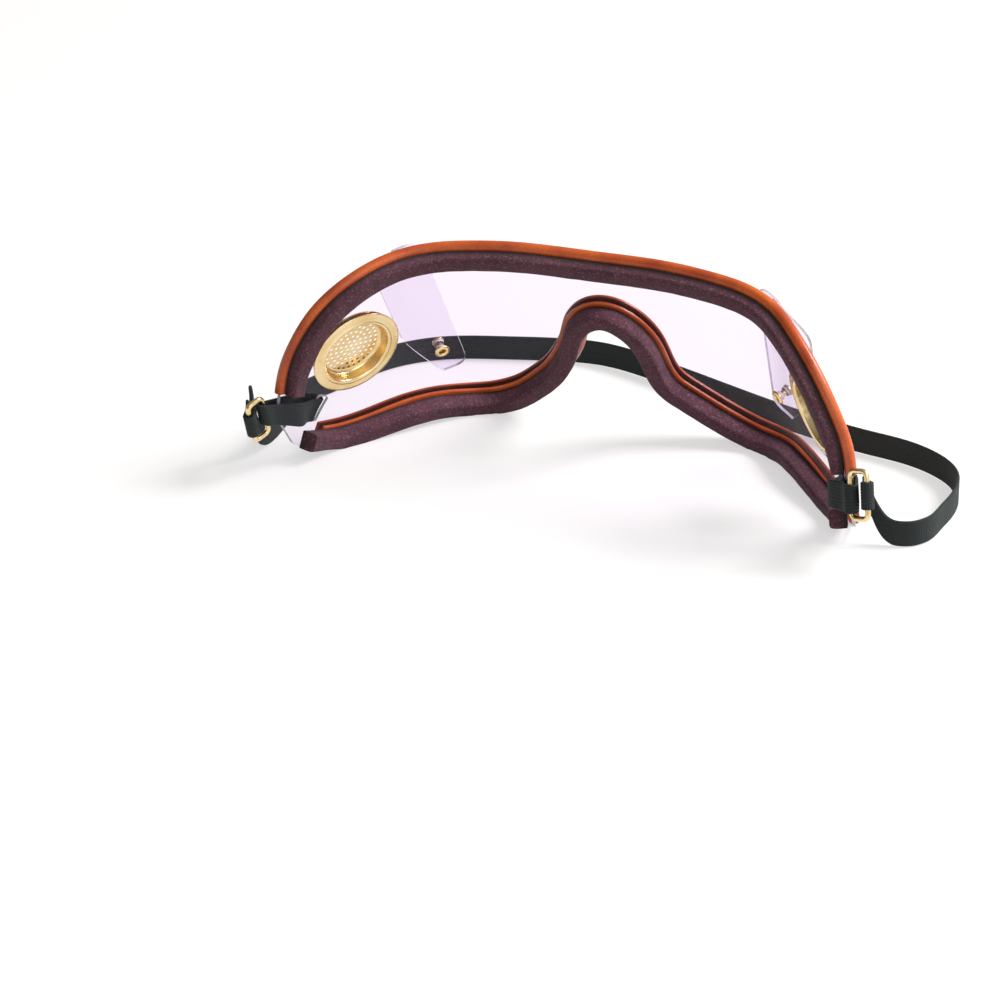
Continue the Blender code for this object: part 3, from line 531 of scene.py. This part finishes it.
def flat_slot(side):
    bpy.ops.object.select_all(action="DESELECT")
    bpy.ops.mesh.primitive_cube_add(size=1)
    cutter = bpy.context.object
    u = side * (SLOT_U + SLOT_SHIFT * math.cos(SLOT_TURN))
    v = SLOT_V + SLOT_SHIFT * math.sin(SLOT_TURN)
    size = Matrix.Diagonal((*SLOT_SIZE, DRILL, 1))
    cutter.data.transform(Matrix.Translation((u, v, 0)) @ Matrix.Rotation(side * SLOT_TURN, 4, "Z") @ size)
    applied(cutter, "BEVEL", width=SLOT_CORNER, segments=4, limit_method="ANGLE")
    return cutter


def edge_faces(piece):
    """The faces that stand on the flat piece's outline and in its holes."""
    return [face.index for face in piece.data.polygons if abs(face.normal.z) < 0.5]


def with_sawn_edges(piece, faces):
    piece.data.materials.append(CUT_EDGE)
    for index in faces:
        piece.data.polygons[index].material_index = 1


def bend_piece(piece, depth_of=None):
    """Sends every point of a flat piece to its bent place. Its Z is the depth, plus what depth_of adds."""
    data = piece.data
    flat = np.zeros(3 * len(data.vertices), np.float32)
    data.vertices.foreach_get("co", flat)
    u, v, depth = flat.reshape(-1, 3).T.astype(float)
    if depth_of:
        depth = depth + depth_of(u)
    data.vertices.foreach_set("co", place(u, v, depth).astype(np.float32).ravel())
    data.update()


# Stations along the sheet: close together in the arch and round the tips' corners
reach = HALF_LENGTH - TIP_CORNER
rounding = reach + TIP_CORNER * np.sin(np.linspace(0, math.pi / 2, 8))
arch = BOTTOM_EDGE[0][np.abs(BOTTOM_EDGE[0][:, 0]) < ARCH_END, 0]
cheek = np.linspace(ARCH_END, reach, 60)[:-1]
stations = np.concatenate([-rounding[::-1], -cheek[::-1], arch, cheek, rounding])
high = np.interp(stations, *TOP_EDGE[0].T)
low = np.interp(stations, *BOTTOM_EDGE[0].T)
over = np.maximum(np.abs(stations) - reach, 0)
drop = TIP_CORNER - np.sqrt(np.maximum(TIP_CORNER**2 - over**2, 0))
shares = np.linspace(0, 1, 13)
rows = [[(u, a + (b - a) * s, 0) for s in shares] for u, a, b in zip(stations, low + drop, high - drop)]
lens = laid_grid("clear_sheet", rows, open_sheet=True)
applied(lens, "SOLIDIFY", thickness=THICKNESS, offset=-1)
cutters = []
for side in (-1, 1):
    cutters += [flat_drill(side * VENT_U, VENT_V, VENT_HOLE), flat_slot(side)]
    cutters += [flat_drill(side * EYELET_U, v, EYELET_HOLE, 24) for v in EYELET_VS]
cut_out(lens, cutters)
low_z = min(vertex.co.z for vertex in lens.data.vertices)
print("the flat sheet's lowest depth is", round(1000 * low_z, 2), "mm")
sawn = edge_faces(lens)
bend_piece(lens, lambda u: 0 if low_z < -THICKNESS / 2 else -THICKNESS)
smoothed(lens, 30)
dressed(lens, CLEAR, "clear_plastic", "lens")
with_sawn_edges(lens, sawn)

# %% [markdown]
# The edging is a strip of leather folded over the edge into a U and glued. Its crown is round, its walls
# are a little under a millimetre thick, and its two lips are orange, with shade painted dark in the groove
# between them where the sheet goes in. The section is drawn with all of that.

# %% Leather edging
WALL = 0.0009
FIT = 0.0003
GROOVE = 0.0002
TOP_REACH = 0.0064
DEEPER = 0.0006
DEEP_FROM = 0.088
DEEP_OVER = 0.0154
half = THICKNESS / 2 + FIT + WALL
middle = -THICKNESS / 2
crown = FIT + WALL - half


def edging_outline(reach):
    """The U section as (beyond the edge, depth, how much shade is painted on the leather) rows."""
    turns = np.linspace(math.pi / 2, -math.pi / 2, 13)
    rows = [(crown + half * math.cos(turn), half * math.sin(turn), 0) for turn in turns]
    # The third values paint shade: half at a lip's inner corner, full in the groove's corner, most along the
    # inner walls.
    cut_wall = [
        (-reach / 2, half, 0),
        (-reach + 0.0007, half, 0),
        (-reach + 0.0002, half - 0.00008, 0),
        (-reach, half - 0.0003, 0),
        (-reach, half - WALL + 0.0001, 0.5),
        (-reach + 0.0005, half - WALL - GROOVE, 1),
        (-reach / 2, half - WALL - GROOVE, 0.7),
        (FIT, half - WALL - GROOVE, 0.7),
    ]
    rows += [(beyond, -off, mark) for beyond, off, mark in cut_wall] + cut_wall[::-1]
    return np.array(rows) + (0, middle, 0)


def lower_reach(u):
    """The lower edging reaches deeper under the eyes than toward the tips."""
    return TOP_REACH + DEEPER * smooth_step((DEEP_FROM - abs(u)) / DEEP_OVER)


def swept(name, strip, outline_at, marks=None):
    """A section, which may change along the sheet, carried along an edge of it."""
    rows = []
    for (u, v), (du, dv) in zip(*strip):
        beyond, depth = outline_at(u)[:, :2].T
        rows.append(place(u + du * beyond, v + dv * beyond, depth))
    return laid_grid(name, rows, marks=marks)


marks = edging_outline(TOP_REACH)[:, 2]
upper = swept("leather_edging_top", TOP_STRIP, lambda u: edging_outline(TOP_REACH), marks)
dressed(smoothed(upper, 40), LEATHER, "leather", "binding_top")
lower = swept("leather_edging_bottom", LOWER_EDGING, lambda u: edging_outline(lower_reach(u)), marks)
dressed(smoothed(lower, 40), LEATHER, "leather", "binding_bottom")

# %% [markdown]
# The foam strips were cut with a hot wire: a flat back that is glued to the leather, soft round shoulders
# at the face and square ends. Where the goggles stand on the table the lower strip is pressed flat.

# %% Face foam
FOAM_WIDTH = 0.0057
FOAM_INSET = 0.003
TOP_FOAM = 0.0036
BOTTOM_FOAM = 0.005
base = FIT + WALL + 0.0001
near = FOAM_WIDTH / 2 - FOAM_INSET
far = -FOAM_WIDTH / 2 - FOAM_INSET


def foam_outline(thickness):
    """Section of a strip as (beyond the edge, depth, how much painted shade darkens it) rows."""
    face = base + thickness + 0.0002
    points = rounded(
        [
            (far, base, 0.0003),
            (near, base, 0.0003),
            (near + 0.00012, (base + face) / 2, 0.001),
            (near, face, 0.0012),
            ((near + far) / 2, face + 0.00008, 0.001),
            (far, face, 0.0012),
            (far - 0.00012, (base + face) / 2, 0.001),
        ]
    )
    # The foam is painted dark near its back, as shade between foam and leather. Toward the sheet's edge the
    # band is wider, painted as that side's shadow.
    deep = np.where(points[:, 0] > (near + far) / 2, 0.0015, 0.0007)
    painted_back_shade = np.clip(1.3 - (points[:, 1] - base) / deep, 0, 1)
    return np.concatenate([points, painted_back_shade[:, None]], 1)


def roughened(piece, size, height):
    """Moves points in and out by a little seeded noise, as a foam skin is never quite even."""
    for vertex in piece.data.vertices:
        vertex.co += vertex.normal * height * field.noise(vertex.co / size)
    piece.data.update()


for name, strip, thickness in (("top", TOP_STRIP, TOP_FOAM), ("bottom", LOWER_FOAM, BOTTOM_FOAM)):
    outline = foam_outline(thickness)
    foam = swept(f"face_foam_{name}", strip, lambda u: outline, outline[:, 2])
    roughened(foam, 0.004, 0.00008)
    for vertex in foam.data.vertices:
        vertex.co.z = max(vertex.co.z, 0)
    smoothed(foam, 40)
    dressed(foam, FOAM, "foam", f"foam_{name}")

# %% [markdown]
# Round pieces are pressed or turned, so they are spun: a circle primitive takes the shape of half the
# section, and Spin turns it about the axis. The pierced disc has a hole at its centre, so no point of the
# section lies on the axis. The roundings of two neighbouring corners must not overlap: then the outline
# folds back on itself, the spun piece comes out inside out, and the drills no longer go through.

# %% Vent cups and rings
HOLE = 0.00047
PITCH = 0.0017
HOLE_RINGS = 5
DISC_DEPTH = -0.0025


def spun(name, section, sides):
    """A closed section of (radius, height) turned about the Z axis."""
    bpy.ops.object.select_all(action="DESELECT")
    bpy.ops.mesh.primitive_circle_add(vertices=len(section), radius=1, fill_type="NOTHING")
    piece = bpy.context.object
    piece.name = name
    piece.data.name = name
    for vertex, (radius, height) in zip(piece.data.vertices, section):
        vertex.co = (radius, 0, height)
    in_edit_mode(
        piece,
        lambda: bpy.ops.mesh.spin(steps=sides, angle=math.tau, center=(0, 0, 0), axis=(0, 0, 1)),
        lambda: bpy.ops.mesh.select_all(action="SELECT"),
        lambda: bpy.ops.mesh.remove_doubles(threshold=0.000002),
        lambda: bpy.ops.mesh.normals_make_consistent(inside=False),
    )
    return piece


cup_section = rounded(
    [
        (0.0144, 0.0003, 0.0001),
        (0.0144, 0.0006, 0.00018),
        (0.0134, 0.00095, 0.0006),
        (0.0119, 0.00075, 0.0004),
        (0.0113, 0.00115, 0.0003),
        (0.0105, 0.0008, 0.0004),
        (0.0101, -0.0020, 0.0005),
        (0.0092, -0.0027, 0.0003),
        (HOLE, -0.0026, 0.00003),
        (HOLE, -0.00274, 0.00003),
        (0.0092, -0.00287, 0.0001),
        (0.0109, -0.0024, 0.0005),
        (0.0109, 0.0003, 0.0001),
    ],
    3,
)
cup = spun("vent_cup", cup_section, 96)
bpy.ops.object.select_all(action="DESELECT")
drills = []
for ring in range(1, HOLE_RINGS + 1):
    for k in range(6 * ring):
        angle = math.tau * (k + 0.5 * (ring % 2)) / (6 * ring)
        centre = (ring * PITCH * math.cos(angle), ring * PITCH * math.sin(angle), DISC_DEPTH)
        bpy.ops.mesh.primitive_cylinder_add(vertices=10, radius=HOLE, depth=0.002, location=centre)
        drills.append(bpy.context.object)
only(drills[0])
for drill in drills:
    drill.select_set(True)
bpy.ops.object.join()
cut_out(cup, [drills[0]])
washer_section = rounded(
    [
        (0.0113, -0.0013, 0.0001),
        (0.0136, -0.0013, 0.0001),
        (0.0136, -0.0018, 0.0003),
        (0.0131, -0.0021, 0.0002),
        (0.0113, -0.0021, 0.0003),
    ],
    3,
)
washer = spun("vent_ring", washer_section, 96)


def placed_copy(source, name, matrix):
    made = bpy.data.objects.new(name, source.data.copy())
    made.data.name = name
    made.data.transform(matrix)
    bpy.context.scene.collection.objects.link(made)
    return made


for side, label in ((-1, "left"), (1, "right")):
    spot = frame_at(side * VENT_U, VENT_V)
    for source, name, node in ((cup, "pierced_cup", "vent_cup"), (washer, "clinch_ring", "vent_ring")):
        piece = smoothed(placed_copy(source, f"{name}_{label}", spot), 35)
        dressed(piece, BRASS, "brass", f"{node}_{label}")
bpy.data.objects.remove(cup)
bpy.data.objects.remove(washer)

# %% [markdown]
# A scoop is a small clear flap that lifts away from the sheet in front of each vent. Two brass eyelets hold
# its flat side. The upper one goes through the leather too and ends inside it, so only the lower one shows
# a rolled head on the face side.

# %% Scoops and eyelets
SEAT = -(THICKNESS + FIT + WALL + FIT)
SCOOP = 0.0008
START = 0.049005
FLAT_END = 0.056505
END = 0.063005
RISE = 0.005
FLAP_LOW = 0.0290
FLAP_HIGH = 0.0325
FLAP_CORNER = 0.004
TAPER = 0.013
BORE = 0.0009
BARREL = 0.0010
OUTER_HEAD = 0.0018
INNER_HEAD = 0.0023
EYELETS = (("upper", EYELET_VS[0], 0.0010, False), ("lower", EYELET_VS[1], 0.0001, True))


def scoop_depth(u):
    share = np.maximum(np.abs(u) - FLAT_END, 0) / (END - FLAT_END)
    return SEAT - RISE * share**2 * (2 - share)


def flat_scoop(side):
    bpy.ops.object.select_all(action="DESELECT")
    bpy.ops.mesh.primitive_grid_add(x_subdivisions=28, y_subdivisions=24, size=1)
    flap = bpy.context.object
    flap.name = f"clear_flap_{'left' if side < 0 else 'right'}"
    for vertex in flap.data.vertices:
        along, up = START + (vertex.co.x * side + 0.5) * (END - START), vertex.co.y + 0.5
        over = max(START + FLAP_CORNER - along, along - END + FLAP_CORNER, 0)
        drop = FLAP_CORNER - math.sqrt(max(FLAP_CORNER**2 - over**2, 0))
        drop += TAPER * max(along - FLAT_END, 0) / (END - FLAT_END)
        low, high = drop - FLAP_LOW, FLAP_HIGH - drop
        vertex.co = (side * along, low + (high - low) * up, 0)
    applied(flap, "SOLIDIFY", thickness=SCOOP, offset=-1)
    cut_out(flap, [flat_drill(side * EYELET_U, v, EYELET_HOLE, 24) for v in EYELET_VS])
    low = min(vertex.co.z for vertex in flap.data.vertices)
    sawn = edge_faces(flap)
    bend_piece(flap, lambda u: scoop_depth(u) - (0 if low < -SCOOP / 2 else SCOOP))
    return smoothed(flap, 30), sawn


def eyelet_section(inner_end, headed):
    """Half the section of an eyelet, from its barrel round the outer head to its inner end."""
    seat = SEAT - SCOOP
    section = [
        (BARREL, seat, 0.0001),
        (OUTER_HEAD, seat, 0.0002),
        (OUTER_HEAD, seat - 0.0005, 0.0002),
        (0.0014, seat - 0.0009, 0.0003),
        (BORE, seat - 0.0005, 0.0003),
    ]
    if headed:
        section += [
            (BORE, inner_end + 0.0005, 0.0003),
            (0.0015, inner_end + 0.0009, 0.0003),
            (INNER_HEAD, inner_end + 0.0004, 0.0002),
            (INNER_HEAD, inner_end, 0.0002),
            (BARREL, inner_end, 0.0001),
        ]
    else:
        section += [(BORE, inner_end, 0.00005), (BARREL, inner_end, 0.00005)]
    return rounded(section, 3)


for side, label in ((-1, "left"), (1, "right")):
    flap, sawn = flat_scoop(side)
    dressed(flap, CLEAR, "clear_plastic", f"scoop_{label}")
    with_sawn_edges(flap, sawn)
    for level, v, end, headed in EYELETS:
        eyelet = spun(f"rolled_eyelet_{level}_{label}", eyelet_section(end, headed), 32)
        eyelet.data.transform(frame_at(side * EYELET_U, v))
        smoothed(eyelet, 40)
        dressed(eyelet, BRASS, "brass", f"eyelet_{level}_{label}")

# %% [markdown]
# A short loop of elastic passes through the slot, round the tip and round the ring's inner bar. It is a
# flat webbing with soft edges, so its section is a rounded rectangle carried round the loop.

# %% Anchor bands
BAND_WIDTH = 0.0084
BAND = 0.001
WIRE = 0.0016
FROM_SLOT = 0.0226
RING_REACH = 0.0038
RING_HEIGHT = 0.012
RING_CORNER = 0.0016
STRAIGHT_STEPS = 40
BULGES = {"left": 0.003, "right": 0.005}
TILTS = {"left": math.radians(34), "right": 0}


def slot_place(side, along, across, depth, tilt=0):
    """A point of the band, along it from the slot and across it. It has twisted by the tilt at the ring."""
    turn = tilt * smooth_step(along / FROM_SLOT)
    along = FROM_SLOT + (along - FROM_SLOT) / math.cos(turn) + across * math.sin(turn)
    across = across * math.cos(turn)
    u = SLOT_U + along * math.cos(SLOT_TURN) - across * math.sin(SLOT_TURN)
    v = SLOT_V + along * math.sin(SLOT_TURN) + across * math.cos(SLOT_TURN)
    return place(side * u, v, depth)


def webbing(width, thickness, ribs=8, relief=0.00006):
    """The section of a ribbed webbing, as (across, off) pairs."""
    across = np.linspace(-width / 2 + thickness / 3, width / 2 - thickness / 3, 4 * ribs + 1)
    wave = relief * np.cos(np.linspace(0, math.tau * ribs, 4 * ribs + 1))
    upper = [(a, thickness / 2 - relief + w) for a, w in zip(across, wave)]
    lower = [(a, -o) for a, o in upper[::-1]]
    near_end = [(width / 2, thickness / 5), (width / 2, -thickness / 5)]
    far_end = [(-width / 2, -thickness / 5), (-width / 2, thickness / 5)]
    return np.array([*upper, *near_end, *lower, *far_end])


def belt(reach, first_radius, second_radius, count=16):
    """A loop round two circles a reach apart, as (along, depth, turn of the outward normal)."""
    lean = math.asin((second_radius - first_radius) / reach)
    found = []
    for centre, radius, start, sweep in (
        (0, first_radius, math.pi / 2 + lean, math.pi - 2 * lean),
        (reach, second_radius, -math.pi / 2 - lean, math.pi + 2 * lean),
    ):
        for k in range(count + 1):
            turn = start + sweep * k / count
            found.append((centre + radius * math.cos(turn), radius * math.sin(turn), turn))
    return found


def filled(first, last, count):
    """Evenly spaced steps between two stops of the loop, without the stops."""
    shares = np.linspace(0, 1, count + 2)[1:-1]
    return [tuple(np.array(first) + (np.array(last) - first) * share) for share in shares]


for side, label in ((-1, "left"), (1, "right")):
    stops = belt(FROM_SLOT, THICKNESS / 2 + FIT + BAND / 2, WIRE / 2 + FIT + BAND / 2)
    at_ring = len(stops) // 2
    top_turn = stops[0][2]
    outer = filled((*stops[at_ring - 1][:2], stops[at_ring][2]), stops[at_ring], STRAIGHT_STEPS)
    inner = filled((*stops[-1][:2], top_turn), (*stops[0][:2], top_turn), STRAIGHT_STEPS)
    rows = []
    for along, off, turn in [*stops[:at_ring], *outer, *stops[at_ring:], *inner]:
        share = min(max(along / FROM_SLOT, 0), 1)
        swell = BULGES[label] * math.sin(math.pi * share) ** 2 if off > 0 else 0
        depth = -THICKNESS / 2 + off + swell
        row = []
        for across, lift in webbing(BAND_WIDTH, BAND):
            ahead, inward = lift * math.cos(turn), lift * math.sin(turn)
            row.append(slot_place(side, along + ahead, across, depth + inward, TILTS[label]))
        rows.append(row)
    band = smoothed(laid_grid(f"anchor_band_{label}", rows, closed=True), 60)
    dressed(band, ELASTIC, "elastic", f"strap_band_{label}")

# %% [markdown]
# Each ring is a length of brass wire bent into a rectangle. The elastic holds it by its inner bar, which is
# also the line that it swings about.

# %% Wire rings


def ring_frame(side, label, swing, rise):
    """The hinge, then unit vectors up the bar, across the ring and off it."""
    depth = -THICKNESS / 2
    hinge = slot_place(side, FROM_SLOT, 0, depth)
    up = slot_place(side, FROM_SLOT, BAND_WIDTH, depth, TILTS[label]) - hinge
    up /= np.linalg.norm(up)
    ahead = hinge - slot_place(side, FROM_SLOT - BAND_WIDTH / 2, 0, depth)
    ahead -= up * (ahead @ up)
    ahead /= np.linalg.norm(ahead)
    out = ahead * math.cos(swing) + np.cross(up, ahead) * side * math.sin(swing)
    return hinge + up * rise, up, out, np.cross(up, out) * side


RINGS = {
    "left": ring_frame(-1, "left", swing=math.radians(12), rise=0),
    "right": ring_frame(1, "right", swing=math.radians(58), rise=0.0012),
}
for label, (hinge, up, out, away) in RINGS.items():
    half_up = RING_HEIGHT / 2 + WIRE / 2
    reach = RING_REACH + WIRE
    rows = []
    for centre_out, centre_up, quarter in (
        (reach - RING_CORNER, half_up - RING_CORNER, 0),
        (RING_CORNER, half_up - RING_CORNER, 1),
        (RING_CORNER, RING_CORNER - half_up, 2),
        (reach - RING_CORNER, RING_CORNER - half_up, 3),
    ):
        for share in np.linspace(0, 1, 9):
            angle = math.pi / 2 * (quarter + share)
            radial = out * math.cos(angle) + up * math.sin(angle)
            centre = hinge + out * centre_out + up * centre_up + RING_CORNER * radial
            turns = np.linspace(0, math.tau, 21)[:-1]
            rows.append([centre + WIRE / 2 * (radial * math.cos(t) + away * math.sin(t)) for t in turns])
    ring = smoothed(laid_grid(f"wire_ring_{label}", rows, closed=True), 60)
    dressed(ring, BRASS, "brass", f"ring_{label}", body=f"{label}_ring")

# %% [markdown]
# The strap is one length of elastic. It stands on edge on the table, makes a loop at the right, and each
# end is folded round the outer bar of a ring. The strap is three pieces that meet end to end: two folded
# ends and the run between them. The route is given in shares of how far the strap reaches from the middle.

# %% The route of the strap
STRAP_REACH = 0.10901
STRAP_WIDTH = 0.0078
STRAP = 0.001
FOLD_REACH = 0.0086
TWIST = 0.01
END_LENGTH = 0.034
RUN_ROWS = 420
ROUTE = (
    (-0.89, -0.345, 0.05),
    (-0.888, -0.28, 0.008),
    (-0.889, -0.21, 0),
    (-0.896, -0.11, 0),
    (-0.904, 0, 0),
    (-0.86, 0.115, 0),
    (-0.74, 0.36, 0),
    (-0.62, 0.458, 0),
    (-0.48, 0.506, 0),
    (-0.34, 0.543, 0),
    (-0.19, 0.558, 0),
    (-0.05, 0.517, 0),
    (0.2, 0.405, 0),
    (0.45, 0.292, 0),
    (0.69, 0.212, 0),
    (0.79, 0.187, 0),
    (0.89, 0.135, 0),
    (0.96, 0.06, 0),
    (0.99, -0.04, 0),
    (0.99, -0.12, 0),
    (0.982, -0.182, 0),
    (0.97, -0.255, 0),
    (0.932, -0.306, 0),
    (0.88, -0.317, 0.004),
    (0.845, -0.312, 0.035),
    (0.825, -0.318, 0.08),
)
FOLD_TURNS = {"left": math.radians(132), "right": math.radians(125)}


def fold_frame(label):
    """The outer bar, the way the strap leaves it, and the way from one ply to the other."""
    hinge, up, out, away = RINGS[label]
    turn = FOLD_TURNS[label]
    leaving = out * math.cos(turn) + away * math.sin(turn)
    return hinge + out * (RING_REACH + WIRE), leaving, np.cross(up, leaving)


def ply_middle(label, offset, reach=FOLD_REACH + FIT):
    """A point on a ply, at one distance from the hinge."""
    hinge = RINGS[label][0]
    bar, leaving, sideways = fold_frame(label)
    foot = bar - hinge + sideways * offset
    ahead = foot @ leaving
    return hinge + foot + leaving * (math.sqrt(reach**2 - foot @ foot + ahead**2) - ahead)


starts = {}
for label in RINGS:
    begin = ply_middle(label, 0)
    starts[label] = [begin, begin + fold_frame(label)[1] * STRAP]
centred = (CENTRING[0], CENTRING[1], FIT + STRAP_WIDTH / 2)
route = [STRAP_REACH * np.array(share) + centred for share in ROUTE]
path = spline([*starts["left"], *route, *starts["right"][::-1]], np.linspace(0, 1, 1200))
path[:, 2] = np.maximum(path[:, 2], centred[2])
steps = np.linalg.norm(np.diff(path, axis=0), axis=1)
along = np.concatenate([[0], np.cumsum(steps)])
length = along[-1]
print("the strap's run is", round(1000 * length), "mm long")


def on_path(distance):
    """Where the strap's path is at a distance from its left end, X, Y and Z in turn."""
    return np.array([np.interp(distance, along, path[:, k]) for k in range(3)])


def strap_rows(line, distances):
    """Rows of the webbing's section along a line. Near a ring its width turns to follow the ring's bar."""
    line = np.asarray(line)
    ahead = np.gradient(line, axis=0)
    upright = np.array([0, 0, 1])
    rows = []
    for point, direction, (from_left, from_right) in zip(line, ahead, distances):
        width = upright
        for label, distance in (("left", from_left), ("right", from_right)):
            width = width + (RINGS[label][1] - upright) * (1 - smooth_step(distance / TWIST))
        width = width / np.linalg.norm(width)
        facing = np.cross(width, direction)
        facing /= np.linalg.norm(facing)
        rows.append([point + width * across + facing * off for across, off in webbing(STRAP_WIDTH, STRAP)])
    return rows


wanted = np.linspace(END_LENGTH, length - END_LENGTH, RUN_ROWS)
strap = laid_grid("strap_run", strap_rows(on_path(wanted).T, [(d, length - d) for d in wanted]))
dressed(smoothed(strap, 60), ELASTIC, "elastic", "strap")

# %% [markdown]
# Each end of the strap goes round the outer bar of its ring and back against itself, where the real one is
# sewn. One line leads from the short ply round the bar and on along the route, and the webbing is carried
# along it.

# %% Folded strap ends
TAIL_REACHES = (0.0066, 0.0056, 0.0045)
BACK_REACHES = (0.0045, 0.0065, FOLD_REACH)
PLY_GAP = 0.0001
JOINS_ROUTE = 0.006
BLEND_START = 0.004
BLEND_END = 0.030
FOLD_ROWS = 260


def from_end(label, distance):
    """A distance from one end of the strap, as a distance from its left end, and the other way round."""
    return distance if label == "left" else length - distance


for label, body in (("left", "left_ring"), ("right", "right_ring")):
    bar, leaving, sideways = fold_frame(label)
    radius = WIRE / 2 + FIT / 2 + STRAP / 2
    ply = STRAP / 2 + PLY_GAP / 2
    flip = 1 if label == "left" else -1
    tail = [bar + leaving * reach + flip * sideways * ply for reach in TAIL_REACHES]
    arc = []
    for angle in np.linspace(math.radians(65), math.radians(295), 15):
        arc.append(bar + radius * (leaving * math.cos(angle) + flip * sideways * math.sin(angle)))
    back = [bar + leaving * reach - flip * sideways * ply for reach in BACK_REACHES]
    away_from = from_end(label, along)
    onward = path[(away_from >= JOINS_ROUTE) & (away_from <= END_LENGTH)][::flip]
    onward = onward[:: max(len(onward) // 12, 1)]
    last = on_path(from_end(label, END_LENGTH))
    line = spline([*tail, *arc, *back, *onward[:-1], last], np.linspace(0, 1, FOLD_ROWS))
    travelled = np.concatenate([[0], np.cumsum(np.linalg.norm(np.diff(line, axis=0), axis=1))])
    from_ring = END_LENGTH - (travelled[-1] - travelled)
    far_off = np.full(len(line), length)
    pairs = np.stack([from_ring, far_off], 1) if label == "left" else np.stack([far_off, from_ring], 1)
    piece = smoothed(laid_grid(f"strap_fold_{label}", strap_rows(line, pairs)), 60)
    dressed(piece, ELASTIC, "elastic", f"strap_end_{label}", body=None)
    begin, finish = (on_path(from_end(label, distance)) for distance in (BLEND_START, BLEND_END))
    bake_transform(piece)

# %% [markdown]
# The goggles stand on a white table in soft light, as small goods are photographed. The key light comes
# from behind on the right, and the room is brighter on that side. The floor and the room add white of their
# own for the camera, and for what is seen in metal or through the clear sheet, so the background stays
# white without more light on the goggles.

# %% Table and room
PAPER_GLOW = 0.56
DIM_SIDE = 0.14
BRIGHT_SIDE = 0.7
bpy.ops.object.select_all(action="DESELECT")
bpy.ops.mesh.primitive_plane_add(size=12, location=(0, 0, 0))
floor = bpy.context.object
floor.name = "table"
PAPER, tree, shader = new_material("white table paper", base_color=hexed("AFADAB"), roughness=0.9)
path_node = tree.nodes.new("ShaderNodeLightPath")
seen = maths(tree, "ADD", path_node.outputs["Is Camera Ray"], path_node.outputs["Is Glossy Ray"])
seen = maths(tree, "MINIMUM", maths(tree, "ADD", seen, path_node.outputs["Is Transmission Ray"]), 1.0)
glow_strength = maths(tree, "MULTIPLY", seen, PAPER_GLOW)
glow = add(tree, "Emission", {"Color": (1, 1, 1, 1), "Strength": glow_strength})
paper_and_glow = add(tree, "AddShader", {0: shader.outputs[0], 1: glow})
tree.links.new(paper_and_glow, tree.nodes["Material Output"].inputs["Surface"])
floor.data.materials.append(PAPER)

world = bpy.data.worlds.new("studio")
bpy.context.scene.world = world
world.use_nodes = True
tree = world.node_tree
tree.nodes["Background"].inputs["Color"].default_value = (1, 1, 1, 1)
path_node = tree.nodes.new("ShaderNodeLightPath")
seen = maths(tree, "ADD", path_node.outputs["Is Camera Ray"], path_node.outputs["Is Transmission Ray"])
seen = maths(tree, "MINIMUM", seen, 1.0)
toward = add(tree, "SeparateXYZ", {"Vector": tree.nodes.new("ShaderNodeTexCoord").outputs["Generated"]}).node
room = ranged(tree, toward.outputs["X"], -0.9, 0.9, DIM_SIDE, BRIGHT_SIDE)
strength = maths(tree, "MAXIMUM", seen, room)
tree.links.new(strength, tree.nodes["Background"].inputs["Strength"])
print("stage:", floor.name, "and", world.name)

# %% [markdown]
# Two large lamps give the soft shadows: a key behind on the right, and a weak fill from the front. The
# camera looks down on the face side through a long lens, from where the photograph was taken.

# %% Lamps and camera
GOGGLES_MIDDLE = (0, 0, 0.02)
SENSOR = 36
FOCAL = 148.2
CAMERA_PLACE = (0.331873, -1.067935, 0.512994)
CAMERA_AIM = (-0.023695, -0.043041, 0)


def lamp(name, place_of, aim, size, power):
    bpy.ops.object.light_add(type="AREA", location=place_of)
    made = bpy.context.object
    made.name = name
    made.data.size = size
    made.data.energy = power
    made.rotation_euler = (Vector(aim) - Vector(place_of)).to_track_quat("-Z", "Y").to_euler()


lamp("key", (0.8, 0.4, 0.9), GOGGLES_MIDDLE, size=0.6, power=20)
lamp("fill", (0.7, -0.9, 0.7), GOGGLES_MIDDLE, size=0.9, power=4)
bpy.ops.object.camera_add(location=CAMERA_PLACE)
camera = bpy.context.object
camera.name = "camera"
camera.data.lens = FOCAL
camera.data.sensor_width = SENSOR
camera.data.clip_start = 0.01
aim = Vector(CAMERA_AIM) - camera.location
camera.rotation_euler = aim.to_track_quat("-Z", "Y").to_euler()
bpy.context.scene.camera = camera
bpy.context.scene.view_settings.view_transform = "Standard"
print("camera lens:", FOCAL, "mm")
